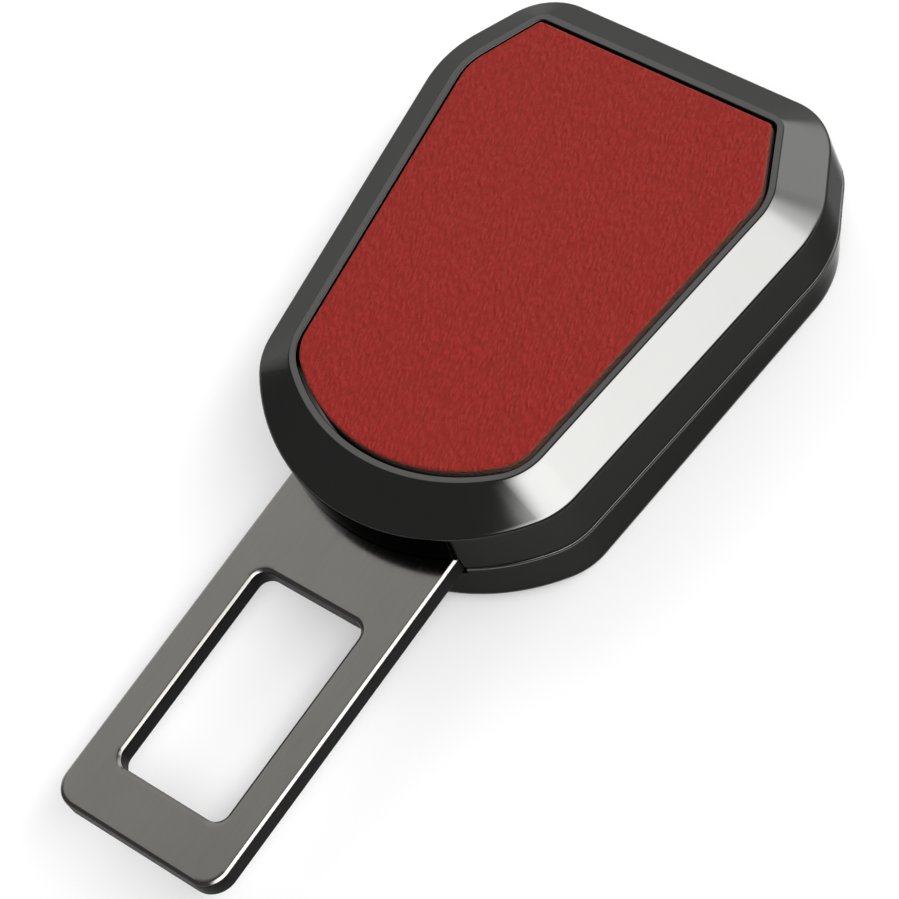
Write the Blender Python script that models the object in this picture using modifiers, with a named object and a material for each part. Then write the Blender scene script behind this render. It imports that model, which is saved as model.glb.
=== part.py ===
"""Seat belt extender: a flat metal tongue on a shield-shaped head with a leather panel.

The tongue clicks into a car's own buckle. The head's wide end is a socket with a release
button, and takes the tongue of the belt. Metres, +Z up. X runs across, Y runs from the
tongue's tip to the socket, and the origin lies under the middle of the whole length.
"""
import math

import bmesh
import bpy
from mathutils import Matrix, Vector

# Clearance between two pieces that touch
GAP = 0.0003

# Tongue plate
TONGUE_WIDTH = 0.0220
TONGUE_THICKNESS = 0.0025
TONGUE_REACH = 0.03815
TONGUE_ANCHOR = 0.0163
TONGUE_TIP_RADIUS = 0.0027
TONGUE_EDGE_RADIUS = 0.0004
TONGUE_RISE = 0.0018
WINDOW_WIDTH = 0.0141
WINDOW_LENGTH = 0.0244
WINDOW_SETBACK = 0.0061
WINDOW_RADIUS = 0.0015

# Head in plan: a shield with a straight far edge, two shoulders and a round near end
HEAD_LENGTH = 0.0606
SHOULDER_WIDTH = 0.0494
FAR_EDGE_WIDTH = SHOULDER_WIDTH * 0.745
SHOULDER_SETBACK = 0.0111
SIDE_TAPER = math.radians(6.9)
NEAR_END_RADIUS = SHOULDER_WIDTH * 0.484
FAR_CORNER_RADIUS = 0.0075
SHOULDER_RADIUS = 0.0117
NEAR_CORNER_RADIUS = 0.0081

# Head in height, from the surface that it lies on
LOWER_HEIGHT = 0.0075
WALL_HEIGHT = 0.0060
BEVEL_HEIGHT = 0.0029
BOTTOM_EDGE_RADIUS = 0.0023
FAR_WALL_LEAN = 0.26
BEVEL_FOOT_RADIUS = 0.0006
LIP_OUTER_RADIUS = 0.0005
LIP_INNER_RADIUS = 0.0002
PARTING_GAP = 0.0003
RIM_CHAMFER = 0.0002

# Leather panel, set into the top of the head
PANEL_FAR_BORDER = 0.0047
PANEL_SIDE_BORDER = 0.0054
PANEL_NEAR_BORDER = 0.0062
PANEL_FAR_INSET = 0.0034
PANEL_SHOULDER_SETBACK = 0.0078
PANEL_NEAR_END_RADIUS = NEAR_END_RADIUS * 0.878
PANEL_FAR_CORNER_RADIUS = 0.0008
PANEL_SHOULDER_RADIUS = 0.0020
PANEL_NEAR_CORNER_RADIUS = 0.0060
PANEL_MARGIN = 0.00055
LIP_WIDTH = 0.0010
LEATHER_PROUD = 0.00043
LEATHER_THICKNESS = 0.00075
LEATHER_EDGE_RADIUS = 0.0003
PLATE_THICKNESS = 0.0013
DECK_THICKNESS = 0.0010

# Cover walls
COVER_WALL = 0.0016
FLOOR_THICKNESS = 0.0016
STEP_THICKNESS = 0.0007
STEP_HEIGHT = 0.0010
ROOF_CHAMFER = 0.0006

# Steel frame, which carries the latch and is riveted to the tongue
FRAME_STEEL = 0.0015
SOCKET_SIDE_ROOM = 0.0019
SOCKET_HEIGHT = 0.0043
FRAME_TAIL_WIDTH = 0.0200
FRAME_TAIL_LENGTH = 0.0108
JOGGLE_RUN = 0.0014
FRAME_EAR_LENGTH = 0.0045
FRAME_EAR_RISE = 0.0022
KEEL_SLOT_LENGTH = 0.0130

# Rivets and case screws
RIVET_SPACING = 0.0120
RIVET_RADIUS = 0.0016
RIVET_HEAD_RADIUS = 0.0028
RIVET_HEAD_HEIGHT = 0.0009
RIVET_SETBACK = 0.0068
SCREW_RADIUS = 0.0010
SCREW_HEAD_RADIUS = 0.0017
SCREW_LENGTH = 0.0102
SCREW_RECESS = 0.0008
SCREW_DRIVE_WIDTH = 0.0005
SCREW_DRIVE_LENGTH = 0.0022
SCREW_DRIVE_DEPTH = 0.0005
BOSS_RADIUS = 0.0024
UPPER_BOSS_RADIUS = 0.0022
FAR_BOSS_SETBACK = 0.0162

# Latch
LATCH_STEEL = 0.0014
LATCH_WIDTH = 0.0170
LATCH_REACH = 0.0153
HUB_RADIUS = 0.0016
PIN_RADIUS = 0.0009
PIN_OVERHANG = 0.0006
PIN_CLEARANCE = 0.0001
TOOTH_WIDTH = 0.0080
TOOTH_LENGTH = 0.0030
TOOTH_BITE = 0.0033
TOOTH_CHAMFER = 0.0020
LATCH_EAR_REACH = 0.0120
LATCH_EAR_LENGTH = 0.0020
LATCH_EAR_STEEL = 0.0010
LATCH_LIFT_ANGLE = math.radians(12.0)

# Release button
BUTTON_WIDTH = 0.0240
BUTTON_DEPTH = 0.0095
BUTTON_HEIGHT = 0.0040
BUTTON_RECESS = 0.0006
BUTTON_TRAVEL = 0.0040
BUTTON_EDGE = 0.0005
ARM_WIDTH = 0.0026
ARM_INSET = 0.0001
ARM_NOSE_HEIGHT = 0.0003
ARM_NOSE_LENGTH = 0.0017
WING_REACH = 0.0036
WING_LENGTH = 0.0025
WING_HEIGHT = 0.0020

# Ejector, which pushes the belt's tongue out
EJECTOR_HEIGHT = 0.0029
EJECTOR_BLOCK_LENGTH = 0.0035
EJECTOR_PRONG_LENGTH = 0.0030
EJECTOR_FORK_WIDTH = 0.0100
EJECTOR_POCKET_DEPTH = 0.0027
KEEL_WIDTH = 0.0072

# Coil springs: radius to the wire's centre, wire radius, turns
BUTTON_COIL_RADIUS = 0.00140
BUTTON_WIRE_RADIUS = 0.00025
BUTTON_COIL_TURNS = 6
BUTTON_COIL_LENGTH = 0.0099
EJECTOR_COIL_RADIUS = 0.00110
EJECTOR_WIRE_RADIUS = 0.00025
EJECTOR_COIL_TURNS = 6
LATCH_COIL_RADIUS = 0.00140
LATCH_WIRE_RADIUS = 0.00020
LATCH_COIL_TURNS = 3
LATCH_SPRING_REACH = 0.0070
SPRING_RIB_LENGTH = 0.0025
SPRING_RIB_WIDTH = 0.0033

# Fineness of the curved surfaces
ARC_STEPS = 5
FILLET_STEPS = 3
ROUND_STEPS = 16
COIL_POINTS_PER_TURN = 10
SMALLEST_RADIUS = 0.0002

# Stations along Y
TIP_Y = -(TONGUE_REACH + HEAD_LENGTH) / 2
NEAR_Y = TIP_Y + TONGUE_REACH
FAR_Y = NEAR_Y + HEAD_LENGTH
TONGUE_END_Y = NEAR_Y + TONGUE_ANCHOR
TAIL_START_Y = TONGUE_END_Y - FRAME_TAIL_LENGTH
JOGGLE_Y = TONGUE_END_Y + FRAME_STEEL
SHOULDER_STOP_Y = JOGGLE_Y + JOGGLE_RUN + GAP
PIVOT_Y = SHOULDER_STOP_Y + HUB_RADIUS + GAP
FRAME_END_Y = FAR_Y - COVER_WALL - GAP - STEP_THICKNESS - GAP
TOOTH_FRONT_Y = PIVOT_Y + LATCH_REACH
TOOTH_BACK_Y = TOOTH_FRONT_Y - TOOTH_LENGTH
EJECTOR_FRONT_Y = TOOTH_FRONT_Y - TOOTH_LENGTH + GAP + EJECTOR_PRONG_LENGTH / 4
EJECTOR_FORK_Y = EJECTOR_FRONT_Y - EJECTOR_PRONG_LENGTH
EJECTOR_BACK_Y = EJECTOR_FORK_Y - EJECTOR_BLOCK_LENGTH
BUTTON_FACE_Y = FAR_Y - BUTTON_RECESS
BUTTON_BACK_Y = BUTTON_FACE_Y - BUTTON_DEPTH
WING_BACK_Y = BUTTON_BACK_Y - WING_LENGTH * 0.8
SPRING_RIB_Y = WING_BACK_Y - BUTTON_COIL_LENGTH - 2 * GAP
FAR_BOSS_Y = FAR_Y - FAR_BOSS_SETBACK
NEAR_BOSS_Y = SHOULDER_STOP_Y - GAP - BOSS_RADIUS
RIVET_Y = TONGUE_END_Y - RIVET_SETBACK

# Levels along Z
TONGUE_TOP_Z = LOWER_HEIGHT + TONGUE_RISE
TONGUE_BOTTOM_Z = TONGUE_TOP_Z - TONGUE_THICKNESS
FOOT_Z = LOWER_HEIGHT + WALL_HEIGHT
LIP_Z = FOOT_Z + BEVEL_HEIGHT
LEATHER_TOP_Z = LIP_Z + LEATHER_PROUD
LEATHER_BOTTOM_Z = LEATHER_TOP_Z - LEATHER_THICKNESS
PLATE_TOP_Z = LEATHER_BOTTOM_Z - GAP
PLATE_BOTTOM_Z = PLATE_TOP_Z - PLATE_THICKNESS
DECK_Z = PLATE_BOTTOM_Z - GAP
ROOF_Z = DECK_Z - DECK_THICKNESS
FRAME_BOTTOM_Z = FLOOR_THICKNESS + GAP
FRAME_TOP_Z = FRAME_BOTTOM_Z + FRAME_STEEL
TAIL_TOP_Z = TONGUE_BOTTOM_Z - GAP
SOCKET_TOP_Z = FRAME_TOP_Z + SOCKET_HEIGHT
LATCH_BOTTOM_Z = SOCKET_TOP_Z + GAP
LATCH_TOP_Z = LATCH_BOTTOM_Z + LATCH_STEEL
PIVOT_Z = (LATCH_BOTTOM_Z + LATCH_TOP_Z) / 2
EJECTOR_BOTTOM_Z = FRAME_TOP_Z + GAP
EJECTOR_TOP_Z = EJECTOR_BOTTOM_Z + EJECTOR_HEIGHT
ARM_BOTTOM_Z = SOCKET_TOP_Z + GAP / 3
BUTTON_BOTTOM_Z = ARM_BOTTOM_Z + GAP / 2
BUTTON_TOP_Z = BUTTON_BOTTOM_Z + BUTTON_HEIGHT
SPRING_Z = (BUTTON_BOTTOM_Z + BUTTON_TOP_Z) / 2
BOSS_TOP_Z = LOWER_HEIGHT - GAP

# Places across X
TONGUE_HALF = TONGUE_WIDTH / 2
FRAME_INSIDE = TONGUE_HALF + SOCKET_SIDE_ROOM
FRAME_OUTSIDE = FRAME_INSIDE + FRAME_STEEL
MOUTH_HALF = FRAME_INSIDE - GAP
NEAR_BOSS_X = TONGUE_HALF + GAP + BOSS_RADIUS
WING_HALF = BUTTON_WIDTH / 2 + WING_REACH
FAR_BOSS_X = WING_HALF + GAP + BOSS_RADIUS
SPRING_X = WING_HALF - BUTTON_COIL_RADIUS - BUTTON_WIRE_RADIUS
LATCH_EAR_HALF = BUTTON_WIDTH / 2 - GAP


# Collections: the parts, and the shapes that cut or join them
def new_collection(name):
    collection = bpy.data.collections.new(name)
    bpy.context.scene.collection.children.link(collection)
    return collection


for old in list(bpy.data.objects):
    bpy.data.objects.remove(old)
PARTS = new_collection("seat_belt_extender")
CUTTERS = new_collection("cutters")


def material(name, colour, roughness, metallic):
    made = bpy.data.materials.new(name)
    made.use_nodes = True
    shader = made.node_tree.nodes["Principled BSDF"]
    shader.inputs["Base Color"].default_value = (*colour, 1.0)
    shader.inputs["Roughness"].default_value = roughness
    shader.inputs["Metallic"].default_value = metallic
    return made


DARK_CHROME = material("gunmetal_plating", (0.11, 0.11, 0.11), 0.2, 1.0)
TONGUE_CHROME = material("polished_gunmetal", (0.22, 0.21, 0.20), 0.15, 1.0)
LEATHER = material("red_leather", (0.31, 0.03, 0.022), 0.5, 0.0)
BLACK_PLASTIC = material("black_plastic", (0.03, 0.03, 0.03), 0.45, 0.0)
RED_PLASTIC = material("red_plastic", (0.55, 0.02, 0.02), 0.4, 0.0)
WHITE_PLASTIC = material("white_plastic", (0.7, 0.7, 0.68), 0.5, 0.0)
ZINC_STEEL = material("zinc_plated_steel", (0.45, 0.45, 0.43), 0.35, 1.0)
SPRING_STEEL = material("spring_steel", (0.35, 0.35, 0.35), 0.3, 1.0)


# Ways to make a shape
def add_object(name, mesh, collection=PARTS):
    made = bpy.data.objects.new(name, mesh)
    collection.objects.link(made)
    if collection is CUTTERS:
        made.hide_render = True
        made.display_type = "WIRE"
    return made


def finish(piece, surface, angle=math.radians(35)):
    """Gives the piece its material and smooth shading between faces that meet gently."""
    piece.data.materials.clear()
    piece.data.materials.append(surface)
    piece.data.shade_smooth()
    piece.data.set_sharp_from_angle(angle=angle)
    return piece


def rounded(corners, steps=FILLET_STEPS, closed=True):
    """Points of a polygon, or of an open line, whose corners (x, y, radius) are rounded."""
    points = []
    for i, (x, y, radius) in enumerate(corners):
        here = Vector((x, y))
        is_end = not closed and i in (0, len(corners) - 1)
        if radius <= 0 or is_end:
            points.append(here)
            continue
        before = Vector(corners[i - 1][:2])
        after = Vector(corners[(i + 1) % len(corners)][:2])
        back, ahead = (before - here).normalized(), (after - here).normalized()
        half_angle = back.angle(ahead) / 2
        centre = here + (back + ahead).normalized() * radius / math.sin(half_angle)
        start = here + back * radius / math.tan(half_angle) - centre
        end = here + ahead * radius / math.tan(half_angle) - centre
        turn = start.angle_signed(end)
        for step in range(steps + 1):
            share = Matrix.Rotation(-turn * step / steps, 2) @ start
            points.append(centre + share)
    return points


def rectangle(half_width, low, high, radius=0.0):
    """Corners of an upright rectangle about x = 0."""
    right = [(half_width, low, radius), (half_width, high, radius)]
    return [(-half_width, low, radius), *right, (-half_width, high, radius)]


def loft(name, rings, collection=PARTS):
    """A closed solid through level outlines with the same number of points: (outline, z)."""
    mesh = bmesh.new()
    loops = [[mesh.verts.new((x, y, z)) for x, y in outline] for outline, z in rings]
    for low, high in zip(loops, loops[1:]):
        for i in range(len(low)):
            mesh.faces.new((low[i - 1], low[i], high[i], high[i - 1]))
    mesh.faces.new(loops[0])
    mesh.faces.new(loops[-1])
    bmesh.ops.recalc_face_normals(mesh, faces=mesh.faces)
    data = bpy.data.meshes.new(name)
    mesh.to_mesh(data)
    mesh.free()
    return add_object(name, data, collection)


# Turns a flat outline's own axes (u, v, thickness) to the part's axes
LEVEL = Matrix.Identity(4)
UPRIGHT = Matrix(((0, 0, 1, 0), (1, 0, 0, 0), (0, 1, 0, 0), (0, 0, 0, 1)))
ENDWISE = Matrix(((-1, 0, 0, 0), (0, 0, 1, 0), (0, 1, 0, 0), (0, 0, 0, 1)))


def plate(name, outlines, low, high, stand=LEVEL, collection=PARTS):
    """Flat outlines, the inner ones holes, made solid from low to high along their thickness.

    UPRIGHT outlines are (y, z) and their thickness runs along X. ENDWISE outlines are
    (x, z), even about x = 0, and their thickness runs along Y.
    """
    curve = bpy.data.curves.new(name, "CURVE")
    curve.dimensions = "2D"
    curve.fill_mode = "BOTH"
    curve.extrude = (high - low) / 2
    for outline in outlines:
        spline = curve.splines.new("POLY")
        spline.points.add(len(outline) - 1)
        for point, (u, v) in zip(spline.points, outline):
            point.co = (u, v, 0.0, 1.0)
        spline.use_cyclic_u = True
    flat = bpy.data.objects.new(name + "_outline", curve)
    bpy.context.scene.collection.objects.link(flat)
    flat.matrix_world = stand @ Matrix.Translation((0, 0, (low + high) / 2))
    return curve_to_mesh(flat, name, collection)


def curve_to_mesh(curve_object, name, collection=PARTS):
    """A curve's evaluated shape as a mesh object with welded caps."""
    bpy.context.view_layer.update()
    graph = bpy.context.evaluated_depsgraph_get()
    data = bpy.data.meshes.new_from_object(curve_object.evaluated_get(graph))
    mesh = bmesh.new()
    mesh.from_mesh(data)
    bmesh.ops.remove_doubles(mesh, verts=mesh.verts, dist=1e-6)
    mesh.transform(curve_object.matrix_world)
    bmesh.ops.recalc_face_normals(mesh, faces=mesh.faces)
    mesh.to_mesh(data)
    mesh.free()
    data.name = name
    bpy.data.objects.remove(curve_object)
    return add_object(name, data, collection)


def block(name, low, high, collection=PARTS):
    """A box between two opposite corners."""
    mesh = bmesh.new()
    bmesh.ops.create_cube(mesh, size=1.0)
    low, high = Vector(low), Vector(high)
    place = Matrix.Translation((low + high) / 2) @ Matrix.Diagonal((*(high - low), 1.0))
    mesh.transform(place)
    data = bpy.data.meshes.new(name)
    mesh.to_mesh(data)
    mesh.free()
    return add_object(name, data, collection)


def rod(name, start, end, radius, collection=PARTS):
    """A cylinder between two points."""
    start, end = Vector(start), Vector(end)
    mesh = bmesh.new()
    bmesh.ops.create_cone(
        mesh, cap_ends=True, segments=ROUND_STEPS, radius1=radius, radius2=radius, depth=(end - start).length
    )
    turn = (end - start).to_track_quat("Z", "Y").to_matrix().to_4x4()
    mesh.transform(Matrix.Translation((start + end) / 2) @ turn)
    data = bpy.data.meshes.new(name)
    mesh.to_mesh(data)
    mesh.free()
    return add_object(name, data, collection)


def turned(name, profile, place, collection=PARTS):
    """A profile of (radius, z), from top to bottom, turned about an upright line through place."""
    data = bpy.data.meshes.new(name)
    edges = [(i, i + 1) for i in range(len(profile) - 1)]
    data.from_pydata([(radius, 0.0, z) for radius, z in profile], edges, [])
    made = add_object(name, data, collection)
    made.location = place
    screw = made.modifiers.new("turn", "SCREW")
    screw.steps = ROUND_STEPS
    screw.render_steps = ROUND_STEPS
    screw.use_merge_vertices = True
    screw.merge_threshold = 1e-5
    return made


def coil(name, start, end, radius, wire_radius, turns):
    """A compression spring whose wire's ends lie at start and end of its axis, less the wire."""
    start, end = Vector(start), Vector(end)
    axis = (end - start).normalized()
    start, end = start + axis * wire_radius, end - axis * wire_radius
    side = axis.orthogonal().normalized()
    other = axis.cross(side)
    curve = bpy.data.curves.new(name, "CURVE")
    curve.dimensions = "3D"
    curve.bevel_depth = wire_radius
    curve.bevel_resolution = 1
    curve.use_fill_caps = True
    spline = curve.splines.new("POLY")
    count = turns * COIL_POINTS_PER_TURN + 1
    spline.points.add(count - 1)
    for i, point in enumerate(spline.points):
        angle = math.tau * i / COIL_POINTS_PER_TURN
        place = start.lerp(end, i / (count - 1))
        place += radius * (math.cos(angle) * side + math.sin(angle) * other)
        point.co = (*place, 1.0)
    wound = bpy.data.objects.new(name + "_wire", curve)
    bpy.context.scene.collection.objects.link(wound)
    return finish(curve_to_mesh(wound, name), SPRING_STEEL)


def combine(piece, operation, *others):
    """Cuts the others from the piece, or joins them to it."""
    for other in others:
        change = piece.modifiers.new(other.name, "BOOLEAN")
        change.operation = operation
        change.object = other
        change.solver = "EXACT"
    return piece


def soften(piece, width, segments=2, angle=math.radians(50)):
    """Rounds the piece's sharp edges."""
    bevel = piece.modifiers.new("soft_edges", "BEVEL")
    bevel.width = width
    bevel.segments = segments
    bevel.limit_method = "ANGLE"
    bevel.angle_limit = angle
    bevel.use_clamp_overlap = False
    return piece


# Outlines of the head
def outward(direction):
    return Vector((-direction.y, direction.x))


def shifted(line, distance):
    """The line, moved outwards."""
    point, direction = line
    return point + outward(direction) * distance, direction


def meeting(line, other):
    """Where two lines (point, direction) cross."""
    point, direction = line
    normal = outward(other[1])
    return point + direction * (other[0] - point).dot(normal) / direction.dot(normal)


def arc(centre, radius, start, end, steps):
    """Points on an arc, clockwise from the direction start to the direction end."""
    turn = -start.angle_signed(end)
    turns = [Matrix.Rotation(turn * i / steps, 2) for i in range(steps + 1)]
    return [centre + rotation @ start.normalized() * radius for rotation in turns]


def shield(far_corner, shoulder, near_y, near_radius, radii, grow):
    """The head's outline, grown outwards: far edge, shoulder facets, sides and round near end."""
    far_radius, shoulder_radius, corner_radius = (max(r + grow, SMALLEST_RADIUS) for r in radii)
    far_corner, shoulder = Vector(far_corner), Vector(shoulder)
    far_edge = shifted((far_corner, Vector((1.0, 0.0))), grow)
    facet = shifted((far_corner, (shoulder - far_corner).normalized()), grow)
    side = shifted((shoulder, Vector((-math.sin(SIDE_TAPER), -math.cos(SIDE_TAPER)))), grow)
    half = []
    for line, following, radius in ((far_edge, facet, far_radius), (facet, side, shoulder_radius)):
        centre = meeting(shifted(line, -radius), shifted(following, -radius))
        half += arc(centre, radius, outward(line[1]), outward(following[1]), ARC_STEPS)
    near_radius += grow
    near_centre = Vector((0.0, near_y - grow + near_radius))
    point, direction = shifted(side, -corner_radius)
    foot = point + direction * (near_centre - point).dot(direction)
    reach = near_radius - corner_radius
    centre = foot + direction * math.sqrt(reach**2 - (foot - near_centre).length_squared)
    half += arc(centre, corner_radius, outward(direction), centre - near_centre, ARC_STEPS)
    half += arc(near_centre, near_radius, centre - near_centre, Vector((0.0, -1.0)), ARC_STEPS)[1:]
    return half + [Vector((-p.x, p.y)) for p in reversed(half[:-1])]


HEAD_SHOULDER = Vector((SHOULDER_WIDTH / 2, FAR_Y - SHOULDER_SETBACK))


def head_ring(grow=0.0):
    """The head's outer outline, grown outwards."""
    radii = (FAR_CORNER_RADIUS, SHOULDER_RADIUS, NEAR_CORNER_RADIUS)
    return shield((FAR_EDGE_WIDTH / 2, FAR_Y), HEAD_SHOULDER, NEAR_Y, NEAR_END_RADIUS, radii, grow)


def panel_ring(grow=0.0):
    """The leather panel's outline, grown outwards."""
    far_y = FAR_Y - PANEL_FAR_BORDER
    shoulder_y = far_y - PANEL_SHOULDER_SETBACK
    shoulder_x = HEAD_SHOULDER.x - PANEL_SIDE_BORDER / math.cos(SIDE_TAPER)
    shoulder_x -= (HEAD_SHOULDER.y - shoulder_y) * math.tan(SIDE_TAPER)
    radii = (PANEL_FAR_CORNER_RADIUS, PANEL_SHOULDER_RADIUS, PANEL_NEAR_CORNER_RADIUS)
    far_corner = (FAR_EDGE_WIDTH / 2 - PANEL_FAR_INSET, far_y)
    near_y = NEAR_Y + PANEL_NEAR_BORDER
    return shield(far_corner, (shoulder_x, shoulder_y), near_y, PANEL_NEAR_END_RADIUS, radii, grow)


def bevel_ring(across):
    """The upper cover's outline, from its outer wall at 0 over the bevel and the lip to the recess."""
    lip_outer = PANEL_MARGIN + LIP_WIDTH
    if across > 1.0:
        return panel_ring(lip_outer - (across - 1.0) * LIP_WIDTH)
    outer, inner = head_ring(), panel_ring(lip_outer)
    return [a.lerp(b, across) for a, b in zip(outer, inner)]


def lower_ring(grow, z):
    """The lower cover's outline at a height: towards the far end its walls lean in more."""
    lean = FAR_WALL_LEAN * max(LOWER_HEIGHT - z, 0.0)
    upright, leaning = head_ring(grow), head_ring(grow - lean)
    return [a.lerp(b, (a.y - NEAR_Y) / HEAD_LENGTH) for a, b in zip(upright, leaning)]


# Covers
def make_lower_cover():
    inside = COVER_WALL + GAP + STEP_THICKNESS
    rim = LOWER_HEIGHT - PARTING_GAP / 2
    outside = rounded(
        [(-COVER_WALL * 3, 0.0, 0.0), (0.0, 0.0, BOTTOM_EDGE_RADIUS), (0.0, rim - RIM_CHAMFER, 0.0)],
        steps=ARC_STEPS,
        closed=False,
    )[1:]
    step_top = rim + STEP_HEIGHT
    rings = [(lower_ring(grow, z), z) for grow, z in outside]
    rings += [(head_ring(-RIM_CHAMFER), rim)]
    rings += [(head_ring(-COVER_WALL - GAP), z) for z in (rim, step_top)]
    rings += [(head_ring(-inside), z) for z in (step_top, FLOOR_THICKNESS)]
    cover = loft("lower_cover", rings)
    for x, y in boss_places():
        post = rod("lower_boss", (x, y, FLOOR_THICKNESS / 2), (x, y, BOSS_TOP_Z), BOSS_RADIUS, CUTTERS)
        combine(cover, "UNION", post)
    for x, y in boss_places():
        combine(cover, "DIFFERENCE", turned("screw_hole", screw_hole_profile(), (x, y, 0.0), CUTTERS))
        foot = (x, y, BOSS_TOP_Z - GAP / 3)
        room = rod("upper_boss_room", foot, (x, y, FOOT_Z), UPPER_BOSS_RADIUS + GAP, CUTTERS)
        combine(cover, "DIFFERENCE", room)
    combine(cover, "DIFFERENCE", tongue_slot(), mouth_slot())
    return finish(cover, DARK_CHROME)


def make_upper_cover():
    lip_inner = 2.0
    rim = LOWER_HEIGHT + PARTING_GAP / 2
    foot_share = BEVEL_FOOT_RADIUS / PANEL_SIDE_BORDER
    lip_share = LIP_OUTER_RADIUS / PANEL_SIDE_BORDER
    foot_rise = foot_share * BEVEL_HEIGHT
    lip_fall = lip_share * BEVEL_HEIGHT
    inside = head_ring(-COVER_WALL)
    rings = [(head_ring(-COVER_WALL - ROOF_CHAMFER), ROOF_Z), (inside, ROOF_Z - ROOF_CHAMFER)]
    rings += [(inside, rim), (head_ring(), rim)]
    foot_start = FOOT_Z - BEVEL_FOOT_RADIUS / 2
    rings += curved_rings((0.0, foot_start), (0.0, FOOT_Z), (foot_share, FOOT_Z + foot_rise))
    lip_end = 1.0 + LIP_OUTER_RADIUS / LIP_WIDTH / 2
    rings += curved_rings((1.0 - lip_share, LIP_Z - lip_fall), (1.0, LIP_Z), (lip_end, LIP_Z))
    inner_share = LIP_INNER_RADIUS / LIP_WIDTH
    recess_start = (lip_inner, LIP_Z - LIP_INNER_RADIUS)
    rings += curved_rings((lip_inner - inner_share, LIP_Z), (lip_inner, LIP_Z), recess_start)
    rings += [(bevel_ring(lip_inner), DECK_Z)]
    cover = loft("upper_cover", rings)
    for x, y in boss_places():
        foot, top = (x, y, BOSS_TOP_Z + GAP), (x, y, ROOF_Z + DECK_THICKNESS / 3)
        post = rod("upper_boss", foot, top, UPPER_BOSS_RADIUS, CUTTERS)
        combine(cover, "UNION", post)
    for side in (-1, 1):
        x = side * SPRING_X
        low = (x - SPRING_RIB_WIDTH / 2, SPRING_RIB_Y - SPRING_RIB_LENGTH, SPRING_Z - SPRING_RIB_WIDTH / 2)
        high = (x + SPRING_RIB_WIDTH / 2, SPRING_RIB_Y, ROOF_Z + DECK_THICKNESS / 3)
        combine(cover, "UNION", block("spring_rib", low, high, CUTTERS))
    for x, y in boss_places():
        top = (x, y, SCREW_RECESS + SCREW_LENGTH + GAP)
        combine(cover, "DIFFERENCE", rod("pilot_hole", (x, y, 0.0), top, SCREW_RADIUS + GAP, CUTTERS))
    low = (-BUTTON_WIDTH / 2 - GAP, FAR_Y - 2 * COVER_WALL, 0.0)
    high = (BUTTON_WIDTH / 2 + GAP, FAR_Y + COVER_WALL, BUTTON_TOP_Z + GAP)
    combine(cover, "DIFFERENCE", tongue_slot(), block("button_window", low, high, CUTTERS))
    return finish(cover, DARK_CHROME)


def curved_rings(start, corner, end):
    """Rings over a rounded edge of the upper cover, between two (across, z) points."""
    rings = []
    for step in range(FILLET_STEPS + 1):
        t = step / FILLET_STEPS
        weights = ((1 - t) ** 2, 2 * t * (1 - t), t**2)
        across, z = (sum(w * v for w, v in zip(weights, values)) for values in zip(start, corner, end))
        rings.append((bevel_ring(across), z))
    return rings


def boss_places():
    """Where the four case screws stand."""
    right = [(NEAR_BOSS_X, NEAR_BOSS_Y), (FAR_BOSS_X, FAR_BOSS_Y)]
    return [(side * x, y) for x, y in right for side in (-1, 1)]


def tongue_slot():
    """Room for the tongue plate in the near walls of both covers."""
    low = (-TONGUE_HALF - GAP, NEAR_Y - COVER_WALL, TONGUE_BOTTOM_Z - GAP)
    high = (TONGUE_HALF + GAP, NEAR_Y + NEAR_CORNER_RADIUS, TONGUE_TOP_Z + GAP)
    return block("tongue_slot", low, high, CUTTERS)


def mouth_slot():
    """The socket's mouth in the lower cover's far wall, with a lead-in."""
    low_z = FRAME_TOP_Z - GAP
    low = (-MOUTH_HALF, FAR_Y - 2.5 * COVER_WALL, low_z)
    slot = block("mouth_slot", low, (MOUTH_HALF, FAR_Y + COVER_WALL, FOOT_Z), CUTTERS)
    flare = COVER_WALL + RIM_CHAMFER * 3
    for vertex in slot.data.vertices:
        if vertex.co.y > FAR_Y:
            vertex.co.x += math.copysign(flare / 3, vertex.co.x)
            if vertex.co.z < LOWER_HEIGHT:
                vertex.co.z -= flare / 3
    return slot


def make_panel_plate():
    rings = [(panel_ring(), PLATE_BOTTOM_Z), (panel_ring(), PLATE_TOP_Z)]
    return finish(loft("panel_plate", rings), BLACK_PLASTIC)


def make_leather_skin():
    edge = LEATHER_EDGE_RADIUS
    corners = [(0.0, LEATHER_BOTTOM_Z, 0.0), (0.0, LEATHER_TOP_Z, edge), (-3 * edge, LEATHER_TOP_Z, 0.0)]
    rings = [(panel_ring(grow), z) for grow, z in rounded(corners, closed=False)[:-1]]
    return finish(loft("leather_skin", rings), LEATHER)


# Tongue, frame and their rivets
def circle(x, y, radius):
    angles = [math.tau * i / ROUND_STEPS for i in range(ROUND_STEPS)]
    return [(x + radius * math.cos(angle), y + radius * math.sin(angle)) for angle in angles]


def rivet_places():
    return [(side * RIVET_SPACING / 2, RIVET_Y) for side in (-1, 1)]


def make_tongue_plate():
    tip, end = TONGUE_TIP_RADIUS, TONGUE_EDGE_RADIUS * 2
    edge = [
        (-TONGUE_HALF, TIP_Y, tip),
        (TONGUE_HALF, TIP_Y, tip),
        (TONGUE_HALF, TONGUE_END_Y, end),
        (-TONGUE_HALF, TONGUE_END_Y, end),
    ]
    window_y = TIP_Y + WINDOW_SETBACK
    window = rectangle(WINDOW_WIDTH / 2, window_y, window_y + WINDOW_LENGTH, WINDOW_RADIUS)
    outlines = [rounded(edge, ARC_STEPS), rounded(window, ARC_STEPS)]
    outlines += [circle(x, y, RIVET_RADIUS + GAP) for x, y in rivet_places()]
    tongue = plate("tongue_plate", outlines, TONGUE_BOTTOM_Z, TONGUE_TOP_Z)
    return finish(soften(tongue, TONGUE_EDGE_RADIUS), TONGUE_CHROME)


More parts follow.
